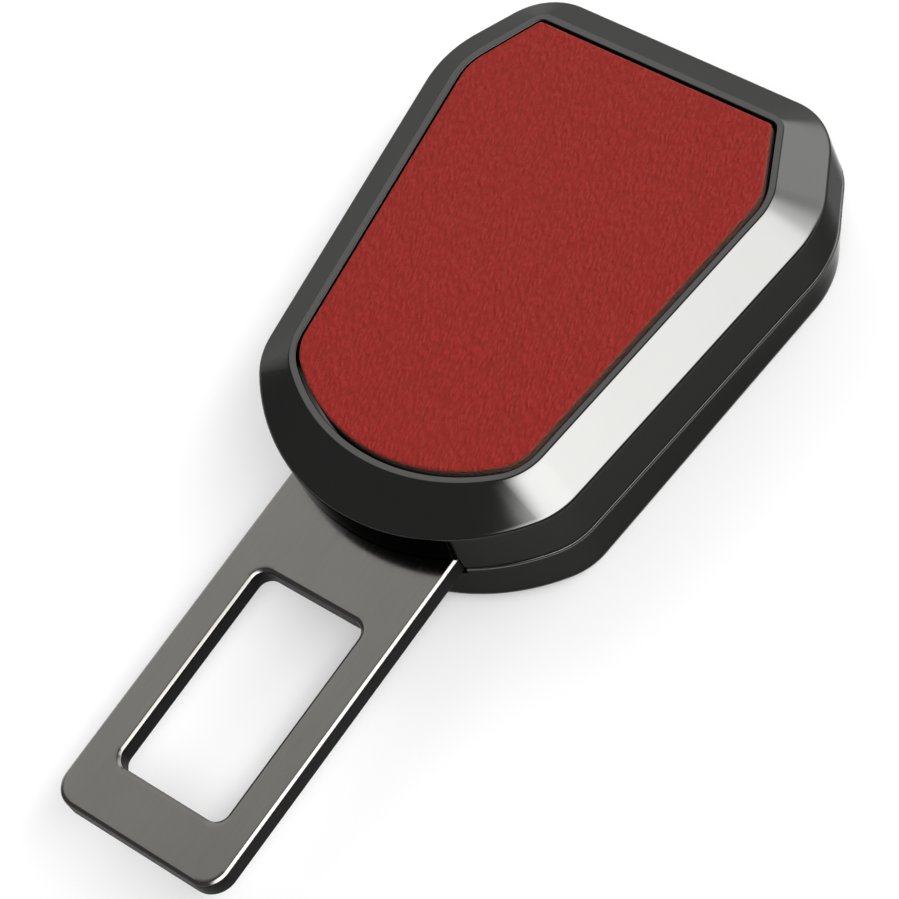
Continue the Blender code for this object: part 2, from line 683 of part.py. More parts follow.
def make_buckle_frame():
    ahead = JOGGLE_Y + JOGGLE_RUN
    tail_bottom = TAIL_TOP_Z - FRAME_STEEL
    lean = JOGGLE_RUN * 0.6
    strip = [
        (TAIL_START_Y, TAIL_TOP_Z),
        (JOGGLE_Y, TAIL_TOP_Z),
        (ahead, FRAME_TOP_Z),
        (ahead + FRAME_STEEL * 2, FRAME_TOP_Z),
        (ahead + FRAME_STEEL * 2, FRAME_BOTTOM_Z),
        (ahead - lean, FRAME_BOTTOM_Z),
        (JOGGLE_Y - lean, tail_bottom),
        (TAIL_START_Y, tail_bottom),
    ]
    frame = plate("buckle_frame", [strip], -FRAME_TAIL_WIDTH / 2, FRAME_TAIL_WIDTH / 2, UPRIGHT)
    ear_top = PIVOT_Z + FRAME_EAR_RISE
    bend = FRAME_STEEL * 0.6
    channel = [
        (-FRAME_OUTSIDE, ear_top, 0.0),
        (-FRAME_OUTSIDE, FRAME_BOTTOM_Z, bend + FRAME_STEEL),
        (FRAME_OUTSIDE, FRAME_BOTTOM_Z, bend + FRAME_STEEL),
        (FRAME_OUTSIDE, ear_top, 0.0),
        (FRAME_INSIDE, ear_top, 0.0),
        (FRAME_INSIDE, FRAME_TOP_Z, bend),
        (-FRAME_INSIDE, FRAME_TOP_Z, bend),
        (-FRAME_INSIDE, ear_top, 0.0),
    ]
    bent = plate("frame_channel", [rounded(channel)], SHOULDER_STOP_Y, FRAME_END_Y, ENDWISE, CUTTERS)
    combine(frame, "UNION", bent)
    ear_end = PIVOT_Y + FRAME_EAR_LENGTH / 2
    wall_top = SOCKET_TOP_Z - GAP / 3
    reach = FRAME_OUTSIDE + FRAME_STEEL
    above = [
        (ear_end, ear_top + FRAME_STEEL, 0.0),
        (ear_end, wall_top, FRAME_STEEL / 2),
        (FRAME_END_Y + FRAME_STEEL, wall_top, 0.0),
        (FRAME_END_Y + FRAME_STEEL, ear_top + FRAME_STEEL, 0.0),
    ]
    combine(frame, "DIFFERENCE", plate("frame_step", [rounded(above)], -reach, reach, UPRIGHT, CUTTERS))
    start, end = (-reach, PIVOT_Y, PIVOT_Z), (reach, PIVOT_Y, PIVOT_Z)
    combine(frame, "DIFFERENCE", rod("pin_hole", start, end, PIN_RADIUS + GAP, CUTTERS))
    for x, y in rivet_places():
        hole = rod("rivet_hole", (x, y, 0.0), (x, y, TONGUE_TOP_Z), RIVET_RADIUS + GAP, CUTTERS)
        combine(frame, "DIFFERENCE", hole)
    slot_start = EJECTOR_FORK_Y + GAP * 2 - KEEL_SLOT_LENGTH
    slot = rectangle(KEEL_WIDTH / 2 + GAP, slot_start, slot_start + KEEL_SLOT_LENGTH, FRAME_STEEL / 2)
    combine(frame, "DIFFERENCE", plate("keel_slot", [rounded(slot)], 0.0, SOCKET_TOP_Z, LEVEL, CUTTERS))
    return finish(frame, ZINC_STEEL)


def make_rivet(name, x, y):
    top, bottom = TONGUE_TOP_Z + GAP, TAIL_TOP_Z - FRAME_STEEL - GAP
    dome = RIVET_HEAD_HEIGHT
    profile = [
        (0.0, top + dome),
        (RIVET_HEAD_RADIUS * 0.6, top + dome * 0.85),
        (RIVET_HEAD_RADIUS, top + dome * 0.3),
        (RIVET_HEAD_RADIUS, top),
        (RIVET_RADIUS, top),
        (RIVET_RADIUS, bottom),
        (RIVET_HEAD_RADIUS, bottom),
        (RIVET_HEAD_RADIUS, bottom - dome * 0.3),
        (RIVET_HEAD_RADIUS * 0.6, bottom - dome * 0.85),
        (0.0, bottom - dome),
    ]
    return finish(turned(name, profile, (x, y, 0.0)), ZINC_STEEL)


# Case screws
def screw_hole_profile():
    """The screw's own shape with its clearance, open below the lower cover."""
    cone = SCREW_HEAD_RADIUS - SCREW_RADIUS
    return [
        (0.0, LOWER_HEIGHT + GAP),
        (SCREW_RADIUS + GAP, LOWER_HEIGHT + GAP),
        (SCREW_RADIUS + GAP, SCREW_RECESS + cone + GAP),
        (SCREW_HEAD_RADIUS + GAP, SCREW_RECESS + GAP),
        (SCREW_HEAD_RADIUS + GAP, -GAP),
        (0.0, -GAP),
    ]


def make_screw(name, x, y):
    cone = SCREW_HEAD_RADIUS - SCREW_RADIUS
    tip = SCREW_RECESS + SCREW_LENGTH
    profile = [
        (0.0, tip),
        (SCREW_RADIUS, tip - SCREW_RADIUS),
        (SCREW_RADIUS, SCREW_RECESS + cone),
        (SCREW_HEAD_RADIUS, SCREW_RECESS),
        (0.0, SCREW_RECESS),
    ]
    screw = turned(name, profile, (x, y, 0.0))
    width, length = SCREW_DRIVE_WIDTH / 2, SCREW_DRIVE_LENGTH / 2
    for half_x, half_y in ((width, length), (length, width)):
        low = (x - half_x, y - half_y, 0.0)
        high = (x + half_x, y + half_y, SCREW_RECESS + SCREW_DRIVE_DEPTH)
        combine(screw, "DIFFERENCE", block("screw_drive", low, high, CUTTERS))
    return finish(screw, SPRING_STEEL)


# Latch, its pin and its spring
def move_origin(piece, place):
    """Sets the piece's origin, which a joint turns or slides about."""
    piece.data.transform(Matrix.Translation(-Vector(place)))
    piece.location = place
    return piece


def make_latch_lever():
    half = LATCH_WIDTH / 2
    lever = block("latch_lever", (-half, PIVOT_Y, LATCH_BOTTOM_Z), (half, TOOTH_FRONT_Y, LATCH_TOP_Z))
    hub_half = FRAME_INSIDE - GAP
    hub = rod("latch_hub", (-hub_half, PIVOT_Y, PIVOT_Z), (hub_half, PIVOT_Y, PIVOT_Z), HUB_RADIUS, CUTTERS)
    tip = LATCH_BOTTOM_Z - GAP - TOOTH_BITE
    tooth = [
        (TOOTH_BACK_Y, PIVOT_Z),
        (TOOTH_BACK_Y, tip),
        (TOOTH_FRONT_Y - TOOTH_CHAMFER, tip),
        (TOOTH_FRONT_Y, tip + TOOTH_CHAMFER),
        (TOOTH_FRONT_Y, PIVOT_Z),
    ]
    bite = plate("latch_tooth", [tooth], -TOOTH_WIDTH / 2, TOOTH_WIDTH / 2, UPRIGHT, CUTTERS)
    ear_y = PIVOT_Y + LATCH_EAR_REACH
    ear_low = (-LATCH_EAR_HALF, ear_y - LATCH_EAR_LENGTH, LATCH_TOP_Z - LATCH_EAR_STEEL)
    ears = block("latch_ears", ear_low, (LATCH_EAR_HALF, ear_y, LATCH_TOP_Z), CUTTERS)
    combine(lever, "UNION", hub, bite, ears)
    reach = FRAME_OUTSIDE + FRAME_STEEL
    bore_radius = PIN_RADIUS + PIN_CLEARANCE
    bore = rod("latch_bore", (-reach, PIVOT_Y, PIVOT_Z), (reach, PIVOT_Y, PIVOT_Z), bore_radius, CUTTERS)
    combine(lever, "DIFFERENCE", bore)
    return move_origin(finish(lever, ZINC_STEEL), (0.0, PIVOT_Y, PIVOT_Z))


def make_latch_pin():
    reach = FRAME_OUTSIDE + PIN_OVERHANG
    pin = rod("latch_pin", (-reach, PIVOT_Y, PIVOT_Z), (reach, PIVOT_Y, PIVOT_Z), PIN_RADIUS)
    return finish(pin, SPRING_STEEL)


def make_latch_spring():
    y = PIVOT_Y + LATCH_SPRING_REACH
    start, end = (0.0, y, LATCH_TOP_Z + GAP), (0.0, y, ROOF_Z - GAP)
    return coil("latch_spring", start, end, LATCH_COIL_RADIUS, LATCH_WIRE_RADIUS, LATCH_COIL_TURNS)


# Release button and its springs
def make_release_button():
    half = BUTTON_WIDTH / 2
    low, high = (-half, BUTTON_BACK_Y, BUTTON_BOTTOM_Z), (half, BUTTON_FACE_Y, BUTTON_TOP_Z)
    button = block("release_button", low, high)
    soften(button, BUTTON_EDGE)
    ear_y = PIVOT_Y + LATCH_EAR_REACH
    nose_top = ARM_BOTTOM_Z + ARM_NOSE_HEIGHT
    ramp_start = ear_y + GAP / 2
    steepness = LATCH_EAR_REACH * math.sin(LATCH_LIFT_ANGLE) / BUTTON_TRAVEL
    arm_top = BUTTON_TOP_Z - BUTTON_EDGE
    arm = [
        (ramp_start - ARM_NOSE_LENGTH, ARM_BOTTOM_Z),
        (ramp_start - ARM_NOSE_LENGTH, nose_top),
        (ramp_start, nose_top),
        (ramp_start + (arm_top - nose_top) / steepness, arm_top),
        (BUTTON_BACK_Y + BUTTON_DEPTH / 2, arm_top),
        (BUTTON_BACK_Y + BUTTON_DEPTH / 2, BUTTON_BOTTOM_Z + BUTTON_EDGE),
        (BUTTON_BACK_Y - BUTTON_EDGE, BUTTON_BOTTOM_Z + BUTTON_EDGE),
        (BUTTON_BACK_Y - BUTTON_EDGE * 2, ARM_BOTTOM_Z),
    ]
    outside = half - ARM_INSET
    for side in (-1, 1):
        low, high = sorted((side * outside, side * (outside - ARM_WIDTH)))
        combine(button, "UNION", plate("button_arm", [arm], low, high, UPRIGHT, CUTTERS))
    low = (-WING_HALF, WING_BACK_Y, SPRING_Z - WING_HEIGHT / 2)
    high = (WING_HALF, WING_BACK_Y + WING_LENGTH, SPRING_Z + WING_HEIGHT / 2)
    combine(button, "UNION", block("button_wings", low, high, CUTTERS))
    return finish(button, RED_PLASTIC)


def make_button_spring(name, side):
    x = side * SPRING_X
    start, end = (x, SPRING_RIB_Y + GAP, SPRING_Z), (x, WING_BACK_Y - GAP, SPRING_Z)
    return coil(name, start, end, BUTTON_COIL_RADIUS, BUTTON_WIRE_RADIUS, BUTTON_COIL_TURNS)


# Ejector and its spring
def make_ejector():
    half = FRAME_INSIDE - GAP
    fork = EJECTOR_FORK_WIDTH / 2
    outline = [
        (-half, EJECTOR_BACK_Y),
        (half, EJECTOR_BACK_Y),
        (half, EJECTOR_FRONT_Y),
        (fork, EJECTOR_FRONT_Y),
        (fork, EJECTOR_FORK_Y),
        (-fork, EJECTOR_FORK_Y),
        (-fork, EJECTOR_FRONT_Y),
        (-half, EJECTOR_FRONT_Y),
    ]
    ejector = plate("ejector", [outline], EJECTOR_BOTTOM_Z, EJECTOR_TOP_Z)
    keel_low = (-KEEL_WIDTH / 2, EJECTOR_BACK_Y, FRAME_BOTTOM_Z + GAP)
    keel = block("ejector_keel", keel_low, (KEEL_WIDTH / 2, EJECTOR_FORK_Y, EJECTOR_BOTTOM_Z + GAP), CUTTERS)
    combine(ejector, "UNION", keel)
    radius = EJECTOR_COIL_RADIUS + EJECTOR_WIRE_RADIUS + GAP
    start, end = ejector_spring_line()
    past = Vector((0.0, GAP, 0.0))
    pocket = rod("ejector_pocket", start - past, end + past, radius, CUTTERS)
    combine(ejector, "DIFFERENCE", pocket)
    return finish(ejector, WHITE_PLASTIC)


def ejector_spring_line():
    """The spring's axis, from the frame's joggle to the bottom of the ejector's pocket."""
    z = (EJECTOR_BOTTOM_Z + EJECTOR_TOP_Z) / 2
    start = Vector((0.0, JOGGLE_Y + JOGGLE_RUN + GAP, z))
    return start, Vector((0.0, EJECTOR_BACK_Y + EJECTOR_POCKET_DEPTH - GAP, z))


def make_ejector_spring():
    start, end = ejector_spring_line()
    return coil("ejector_spring", start, end, EJECTOR_COIL_RADIUS, EJECTOR_WIRE_RADIUS, EJECTOR_COIL_TURNS)


make_lower_cover()
make_upper_cover()
make_panel_plate()
make_leather_skin()
make_tongue_plate()
make_buckle_frame()
for rivet_name, (rivet_x, rivet_y) in zip(("rivet_left", "rivet_right"), rivet_places()):
    make_rivet(rivet_name, rivet_x, rivet_y)
screw_names = ("screw_near_left", "screw_near_right", "screw_far_left", "screw_far_right")
for screw_name, (screw_x, screw_y) in zip(screw_names, boss_places()):
    make_screw(screw_name, screw_x, screw_y)
make_latch_lever()
make_latch_pin()
make_latch_spring()
make_release_button()
make_button_spring("button_spring_left", -1)
make_button_spring("button_spring_right", 1)
make_ejector()
make_ejector_spring()
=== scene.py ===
# %% [markdown]
# A seat belt extender, from its frame to its finish.
# The real one is a flat steel tongue riveted into a shield-shaped die-cast head. The head is
# plated in dark chrome and carries a red leather panel, and its wide end is a socket with a
# release button. The frame gives every piece its place, and this lesson gives each its surface.

# %% Load the frame and keep its box
import math

import bmesh
import bpy
from mathutils import Matrix, Vector, noise


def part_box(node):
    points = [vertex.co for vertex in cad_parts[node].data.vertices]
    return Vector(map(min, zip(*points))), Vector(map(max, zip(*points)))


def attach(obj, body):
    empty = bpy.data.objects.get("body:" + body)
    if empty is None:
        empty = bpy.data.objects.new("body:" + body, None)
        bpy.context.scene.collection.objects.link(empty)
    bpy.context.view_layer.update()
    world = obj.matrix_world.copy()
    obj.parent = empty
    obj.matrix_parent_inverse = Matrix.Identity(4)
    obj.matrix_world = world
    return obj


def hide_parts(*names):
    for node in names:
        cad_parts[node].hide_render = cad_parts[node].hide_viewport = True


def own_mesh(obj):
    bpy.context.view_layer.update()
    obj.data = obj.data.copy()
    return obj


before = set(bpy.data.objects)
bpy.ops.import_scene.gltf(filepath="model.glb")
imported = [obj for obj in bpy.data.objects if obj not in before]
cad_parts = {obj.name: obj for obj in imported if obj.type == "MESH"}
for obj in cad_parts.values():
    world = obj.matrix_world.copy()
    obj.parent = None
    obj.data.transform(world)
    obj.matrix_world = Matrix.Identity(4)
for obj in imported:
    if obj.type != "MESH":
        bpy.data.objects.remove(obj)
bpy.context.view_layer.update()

MM = 0.001

# %% [markdown]
# The camera stands to the right of the head and above it, and looks down on it with a long
# lens, so that the far end is hardly smaller than the tongue. Its axes are written out,
# because the object also leans in the picture, which a plain "look at" would not give.

# %% Camera
CAMERA_PLACE = Vector((200.204, -94.31, 327.304)) * MM
CAMERA_LOOKS = Vector((-0.51131, 0.24712, -0.82310)).normalized()
CAMERA_UP = Vector((-0.40084, 0.77863, 0.48277)).normalized()
camera = bpy.data.objects.new("camera", bpy.data.cameras.new("camera"))
bpy.context.scene.collection.objects.link(camera)
bpy.context.scene.camera = camera
camera.data.sensor_width = 36.0
camera.data.lens = 154.54
camera.data.clip_start = 0.01
camera_turn = Matrix((CAMERA_LOOKS.cross(CAMERA_UP), CAMERA_UP, -CAMERA_LOOKS)).transposed()
camera.matrix_world = Matrix.Translation(CAMERA_PLACE) @ camera_turn.to_4x4()
print("the camera is", round(CAMERA_PLACE.length, 3), "m from the object")

# %% [markdown]
# A material is a small tree of nodes. One helper adds a node, sets it and links it. Colours
# are written as a screen shows them and are turned to the linear values that a shader needs.


# %% Helpers for node trees
def linear(code):
    """The linear colour of an sRGB hex code."""
    parts = [int(code[i:i + 2], 16) / 255 for i in (1, 3, 5)]
    return [p / 12.92 if p <= 0.04045 else ((p + 0.055) / 1.055) ** 2.4 for p in parts] + [1.0]


def in_use(sockets, name=None):
    """The first socket that the node's settings leave in use, of any name or of one."""
    return next(s for s in sockets if s.enabled and name in (None, s.name))


def add(tree, kind, inputs=None, **settings):
    """Adds a node with its settings. An input gets a value, or a node or socket linked to it."""
    made = tree.nodes.new(kind)
    for name, value in settings.items():
        setattr(made, name, value)
    for name, value in (inputs or {}).items():
        socket = made.inputs[name] if isinstance(name, int) else in_use(made.inputs, name)
        if isinstance(value, bpy.types.Node):
            value = in_use(value.outputs)
        if isinstance(value, bpy.types.NodeSocket):
            tree.links.new(value, socket)
        else:
            socket.default_value = value
    return made


def start_material(name):
    """A new material, its empty tree, and the place on the piece in metres."""
    made = bpy.data.materials.new(name)
    made.use_nodes = True
    made.node_tree.nodes.clear()
    place = add(made.node_tree, "ShaderNodeTexCoord").outputs["Object"]
    return made, made.node_tree, place


def finish_material(made, inputs):
    """Ends a material with its shader."""
    tree = made.node_tree
    shader = add(tree, "ShaderNodeBsdfPrincipled", inputs)
    add(tree, "ShaderNodeOutputMaterial", {"Surface": shader})
    print("made", made.name, "with", len(tree.nodes), "nodes")


def per_metre(size_mm):
    """The scale of a pattern whose features are this many millimetres across."""
    return 1.0 / (size_mm * MM)


print("the middle grey of a screen is", round(linear("#808080")[0], 3), "in linear light")

# %% [markdown]
# The head's two halves are zinc castings, polished and then given a black chrome plating. Such
# a plating is a metal that reflects only a small part of the light, and it is nearly a mirror:
# what one sees on it is the studio. Polishing leaves a faint haze in patches and very shallow
# waves, which the roughness and the bump give. The walls below the bevel's foot get a darker
# colour, a painted shade for the shadowed table that they mirror, and a thin band on the lower
# rim's rounding at the parting gets a lighter colour, a painted highlight. The height on the
# piece decides which of these a place gets.

# %% Black chrome plating
FOOT_Z = 13.5 * MM
# The rim band is a painted highlight: a lighter colour on the lower rim's rounding at the parting.
RIM_HIGHLIGHT_Z, RIM_HIGHLIGHT_HALF = 7.18 * MM, 0.1 * MM
black_chrome, tree, place = start_material("black_chrome_plating")
inputs = {"Vector": place, "Scale": per_metre(9.0), "Detail": 4.0}
patches = add(tree, "ShaderNodeTexNoise", inputs)
waves = add(tree, "ShaderNodeTexNoise", {"Vector": place, "Scale": per_metre(6.0)})
inputs = {"Factor": patches, "A": linear("#4F4F4E"), "B": linear("#545453")}
polished = add(tree, "ShaderNodeMix", inputs, data_type="RGBA")
height = add(tree, "ShaderNodeSeparateXYZ", {"Vector": place}).outputs["Z"]
inputs = {"Value": height, "From Min": FOOT_Z - 0.1 * MM, "From Max": FOOT_Z + 0.1 * MM}
on_bevel = add(tree, "ShaderNodeMapRange", inputs)
# Below the bevel's foot the walls get a darker colour: painted shade for the shadowed table they
# mirror.
inputs = {"Factor": on_bevel, "A": linear("#353534"), "B": polished}
with_wall_shade = add(tree, "ShaderNodeMix", inputs, data_type="RGBA")
# A lighter colour on the band at the lower rim's rounding: a painted highlight at the parting.
inputs = {0: height, 1: RIM_HIGHLIGHT_Z, 2: RIM_HIGHLIGHT_HALF}
on_rim_highlight = add(tree, "ShaderNodeMath", inputs, operation="COMPARE")
inputs = {"Factor": on_rim_highlight, "A": with_wall_shade, "B": linear("#626260")}
tone = add(tree, "ShaderNodeMix", inputs, data_type="RGBA")
inputs = {"Value": patches, "From Min": 0.3, "From Max": 0.7, "To Min": 0.08, "To Max": 0.12}
haze = add(tree, "ShaderNodeMapRange", inputs)
uneven = add(tree, "ShaderNodeBump", {"Height": waves, "Distance": 0.002 * MM})
inputs = {"Base Color": tone, "Metallic": 1.0, "Roughness": haze, "Normal": uneven}
inputs |= {"Specular Tint": (0.45, 0.45, 0.45, 1.0)}
finish_material(black_chrome, inputs)

# %% [markdown]
# The tongue is stamped from steel sheet, polished along its length and given a warmer
# gunmetal plating. Its polish shows as hair-fine lines: a noise stretched along the length, so fine
# that it only spreads the reflections a little. The sheared sides are left unpolished and rougher,
# and their colour is nearly black, a painted shade for the dark that they mirror; the height on
# the plate decides between the two tones.

# %% Polished gunmetal
gunmetal, tree, place = start_material("polished_gunmetal_plating")
lengthwise = add(tree, "ShaderNodeMapping", {"Vector": place, "Scale": (1.0, 0.03, 1.0)})
inputs = {"Vector": lengthwise, "Scale": per_metre(0.12), "Detail": 3.0}
lines = add(tree, "ShaderNodeTexNoise", inputs)
inputs = {"Vector": place, "Scale": per_metre(7.0), "Detail": 3.0}
patches = add(tree, "ShaderNodeTexNoise", inputs)
inputs = {"Factor": patches, "A": linear("#6C6A67"), "B": linear("#72706D")}
polished = add(tree, "ShaderNodeMix", inputs, data_type="RGBA")
height = add(tree, "ShaderNodeSeparateXYZ", {"Vector": place}).outputs["Z"]
tongue_low, tongue_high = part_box("tongue_plate")
TONGUE_MIDDLE_Z = (tongue_low.z + tongue_high.z) / 2
SHEARED_HALF = (tongue_high.z - tongue_low.z) / 2 - 0.26 * MM
inputs = {0: height, 1: TONGUE_MIDDLE_Z, 2: SHEARED_HALF}
on_side = add(tree, "ShaderNodeMath", inputs, operation="COMPARE")
# The sheared sides get a nearly black colour, a painted shade for the dark they mirror.
inputs = {"Factor": on_side, "A": polished, "B": linear("#121211")}
tone = add(tree, "ShaderNodeMix", inputs, data_type="RGBA")
inputs = {"Value": lines, "From Min": 0.3, "From Max": 0.7, "To Min": 0.12, "To Max": 0.2}
polish = add(tree, "ShaderNodeMapRange", inputs)
gloss = add(tree, "ShaderNodeMath", {0: on_side, 1: 0.4, 2: polish}, operation="MULTIPLY_ADD")
scratches = add(tree, "ShaderNodeBump", {"Height": lines, "Distance": 0.0004 * MM})
inputs = {"Base Color": tone, "Metallic": 1.0, "Roughness": gloss, "Normal": scratches}
finish_material(gunmetal, inputs)

# %% [markdown]
# The panel is covered with dyed and embossed cow leather. Its grain is made of small pebbles,
# drawn out along the panel and a little aslant, with wrinkles over them and pores in them.
# Voronoi cells give the pebbles, bent by a noise so that no row is straight. The colour is a
# little lighter on top of the grain and darker in its creases, partly the leather's own colour
# and partly painted shade in the creases, and the cut edge is sealed with brown edge paint,
# which reaches a little up the rounded edge.

# %% The leather's grain
PEBBLE_MM = 0.34
GRAIN_SLANT = math.radians(13.0)
GRAIN_STRETCH = 2.5
leather, tree, place = start_material("red_grain_leather")
wander = add(tree, "ShaderNodeTexNoise", {"Vector": place, "Scale": per_metre(1.0), "Detail": 2.0})
inputs = {0: wander.outputs["Color"], 1: (0.5 * MM, 0.5 * MM, 0.0)}
bent = add(tree, "ShaderNodeVectorMath", inputs, operation="MULTIPLY")
moved = add(tree, "ShaderNodeVectorMath", {0: place, 1: bent}, operation="ADD")
inputs = {"Vector": moved, "Rotation": (0.0, 0.0, GRAIN_SLANT), "Scale": (1.0, GRAIN_STRETCH, 1.0)}
drawn_out = add(tree, "ShaderNodeMapping", inputs, vector_type="TEXTURE")
inputs = {"Vector": drawn_out, "Scale": per_metre(PEBBLE_MM), "Smoothness": 0.3}
cells = add(tree, "ShaderNodeTexVoronoi", inputs, feature="SMOOTH_F1")
inputs = {"Vector": drawn_out, "Scale": per_metre(PEBBLE_MM), "Detail": 2.0, "Roughness": 0.6}
wrinkles = add(tree, "ShaderNodeTexNoise", inputs)
pores = add(tree, "ShaderNodeTexNoise", {"Vector": place, "Scale": per_metre(0.2), "Detail": 2.0})
inputs = {"Value": cells, "From Min": 0.1, "From Max": 0.7, "To Min": 0.6, "To Max": 0.0}
pebbles = add(tree, "ShaderNodeMapRange", inputs)
ridges = add(tree, "ShaderNodeMath", {0: wrinkles, 1: pebbles}, operation="ADD")
grain = add(tree, "ShaderNodeMath", {0: pores, 1: 0.25, 2: ridges}, operation="MULTIPLY_ADD")
print("the grain takes", len(tree.nodes), "nodes, for pebbles of", PEBBLE_MM, "mm")

# %% The leather's colour and edge
LEATHER_TOP_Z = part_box("leather_skin")[1].z
inputs = {"Value": grain, "From Min": 0.65, "From Max": 1.25}
on_top = add(tree, "ShaderNodeMapRange", inputs)
cloud = add(tree, "ShaderNodeTexNoise", {"Vector": place, "Scale": per_metre(14.0)})
# Lighter on top of the grain and darker in its creases: partly the leather's own colour, partly
# painted shade in the creases.
inputs = {"Factor": on_top, "A": linear("#841C14"), "B": linear("#95221B")}
dye_and_crease_shade = add(tree, "ShaderNodeMix", inputs, data_type="RGBA")
inputs = {"Value": cloud, "From Min": 0.35, "From Max": 0.65, "To Min": 0.0, "To Max": 0.2}
worn = add(tree, "ShaderNodeMapRange", inputs)
inputs = {"Factor": worn, "A": dye_and_crease_shade, "B": linear("#85221A")}
shaded = add(tree, "ShaderNodeMix", inputs, data_type="RGBA")
height = add(tree, "ShaderNodeSeparateXYZ", {"Vector": place}).outputs["Z"]
edge_low, edge_high = LEATHER_TOP_Z - 0.28 * MM, LEATHER_TOP_Z - 0.1 * MM
inputs = {"Value": height, "From Min": edge_low, "From Max": edge_high}
above_edge = add(tree, "ShaderNodeMapRange", inputs)
inputs = {"Factor": above_edge, "A": linear("#66493F"), "B": shaded}
tone = add(tree, "ShaderNodeMix", inputs, data_type="RGBA")
inputs = {"Value": grain, "From Min": 0.65, "From Max": 1.25, "To Min": 0.6, "To Max": 0.46}
gloss = add(tree, "ShaderNodeMapRange", inputs)
embossed = add(tree, "ShaderNodeBump", {"Height": grain, "Distance": 0.14 * MM})
inputs = {"Base Color": tone, "Roughness": gloss, "Normal": embossed, "Specular IOR Level": 0.18}
finish_material(leather, inputs)

# %% [markdown]
# Inside and behind there are plainer materials. The panel's backing plate and the ejector are
# injection-moulded plastics with a spark-eroded texture, the button is a glossier moulding,
# and the frame, the latch and the springs are steel: rolled, plated with zinc, or drawn.


# %% Moulded plastics
def moulded(name, first, second, roughness, texture_mm):
    """An injection-moulded plastic with two close tones and the texture of its mould."""
    made, tree, place = start_material(name)
    inputs = {"Vector": place, "Scale": per_metre(5.0), "Detail": 2.0}
    cloud = add(tree, "ShaderNodeTexNoise", inputs)
    inputs = {"Vector": place, "Scale": per_metre(texture_mm), "Detail": 2.0}
    sparks = add(tree, "ShaderNodeTexNoise", inputs)
    inputs = {"Factor": cloud, "A": linear(first), "B": linear(second)}
    tone = add(tree, "ShaderNodeMix", inputs, data_type="RGBA")
    inputs = {"Value": cloud, "From Min": 0.3, "From Max": 0.7}
    inputs |= {"To Min": roughness - 0.04, "To Max": roughness + 0.04}
    gloss = add(tree, "ShaderNodeMapRange", inputs)
    texture = add(tree, "ShaderNodeBump", {"Height": sparks, "Distance": 0.006 * MM})
    finish_material(made, {"Base Color": tone, "Roughness": gloss, "Normal": texture})
    return made


black_nylon = moulded("black_moulded_nylon", "#141313", "#1B1A1A", 0.5, 0.15)
red_abs = moulded("red_moulded_abs", "#A8161A", "#B41C1F", 0.3, 0.3)
white_acetal = moulded("white_moulded_acetal", "#D6D4CC", "#E0DED7", 0.45, 0.2)


# %% Steels
def steel(name, first, second, roughness, stretch, deep_mm):
    """A steel whose marks are drawn out along X, Y or Z by the stretch."""
    made, tree, place = start_material(name)
    drawn = add(tree, "ShaderNodeMapping", {"Vector": place, "Scale": stretch})
    inputs = {"Vector": drawn, "Scale": per_metre(0.25), "Detail": 4.0}
    marks = add(tree, "ShaderNodeTexNoise", inputs)
    inputs = {"Vector": place, "Scale": per_metre(2.5), "Detail": 2.0}
    spangle = add(tree, "ShaderNodeTexNoise", inputs)
    inputs = {"Factor": spangle, "A": linear(first), "B": linear(second)}
    tone = add(tree, "ShaderNodeMix", inputs, data_type="RGBA")
    inputs = {"Value": marks, "From Min": 0.3, "From Max": 0.7}
    inputs |= {"To Min": roughness - 0.07, "To Max": roughness + 0.08}
    gloss = add(tree, "ShaderNodeMapRange", inputs)
    relief = add(tree, "ShaderNodeBump", {"Height": marks, "Distance": deep_mm * MM})
    inputs = {"Base Color": tone, "Metallic": 1.0, "Roughness": gloss, "Normal": relief}
    finish_material(made, inputs)
    return made


zinc_steel = steel("zinc_plated_steel", "#A3A39E", "#B4B4AD", 0.32, (1.0, 0.1, 1.0), 0.003)
spring_steel = steel("drawn_spring_steel", "#8F8F90", "#9B9B9B", 0.25, (1.0, 1.0, 1.0), 0.001)
screw_steel = steel("blackened_screw_steel", "#4A4A4A", "#585858", 0.35, (1.0, 1.0, 0.3), 0.002)

# %% [markdown]
# The head and the panel share one kind of outline: a shield with a straight far edge, two
# slanted facets, two long sides and a round near end. Every corner is an arc, and each
# straight has a few points close to the arcs, so that a mirror finish stays flat between them.

# %% Sizes of the outlines, in metres
NEAR_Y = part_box("upper_cover")[0].y
FAR_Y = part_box("upper_cover")[1].y
SIDE_TAPER = math.radians(6.9)
HEAD_SHOULDER = Vector((24.7, FAR_Y / MM - 11.1)) * MM
HEAD_FAR_CORNER = Vector((18.4, FAR_Y / MM)) * MM
HEAD_RADII = (7.5 * MM, 11.7 * MM, 8.1 * MM)
HEAD_NEAR_RADIUS = 23.91 * MM
PANEL_FAR_CORNER = Vector((15.0, FAR_Y / MM - 4.7)) * MM
PANEL_SHOULDER = PANEL_FAR_CORNER - Vector((0.0, 7.8)) * MM
PANEL_SHOULDER.x = HEAD_SHOULDER.x - 5.4 * MM / math.cos(SIDE_TAPER)
PANEL_SHOULDER.x -= (HEAD_SHOULDER.y - PANEL_SHOULDER.y) * math.tan(SIDE_TAPER)
PANEL_RADII = (0.8 * MM, 5.5 * MM, 5.2 * MM)
PANEL_NEAR_RADIUS, PANEL_MARGIN = 20.99 * MM, 6.2 * MM
SMALLEST_RADIUS = 0.2 * MM
ARC_STEPS = 18
STRAIGHT_STEPS = 9
print("the head is", round((FAR_Y - NEAR_Y) / MM, 2), "mm long")


# %% Lines and arcs
def outward(direction):
    """The way out from an edge that runs in this direction, since outlines run clockwise."""
    return Vector((-direction.y, direction.x))


def shifted(line, distance):
    """A line (point, direction), moved outwards."""
    return line[0] + outward(line[1]) * distance, line[1]


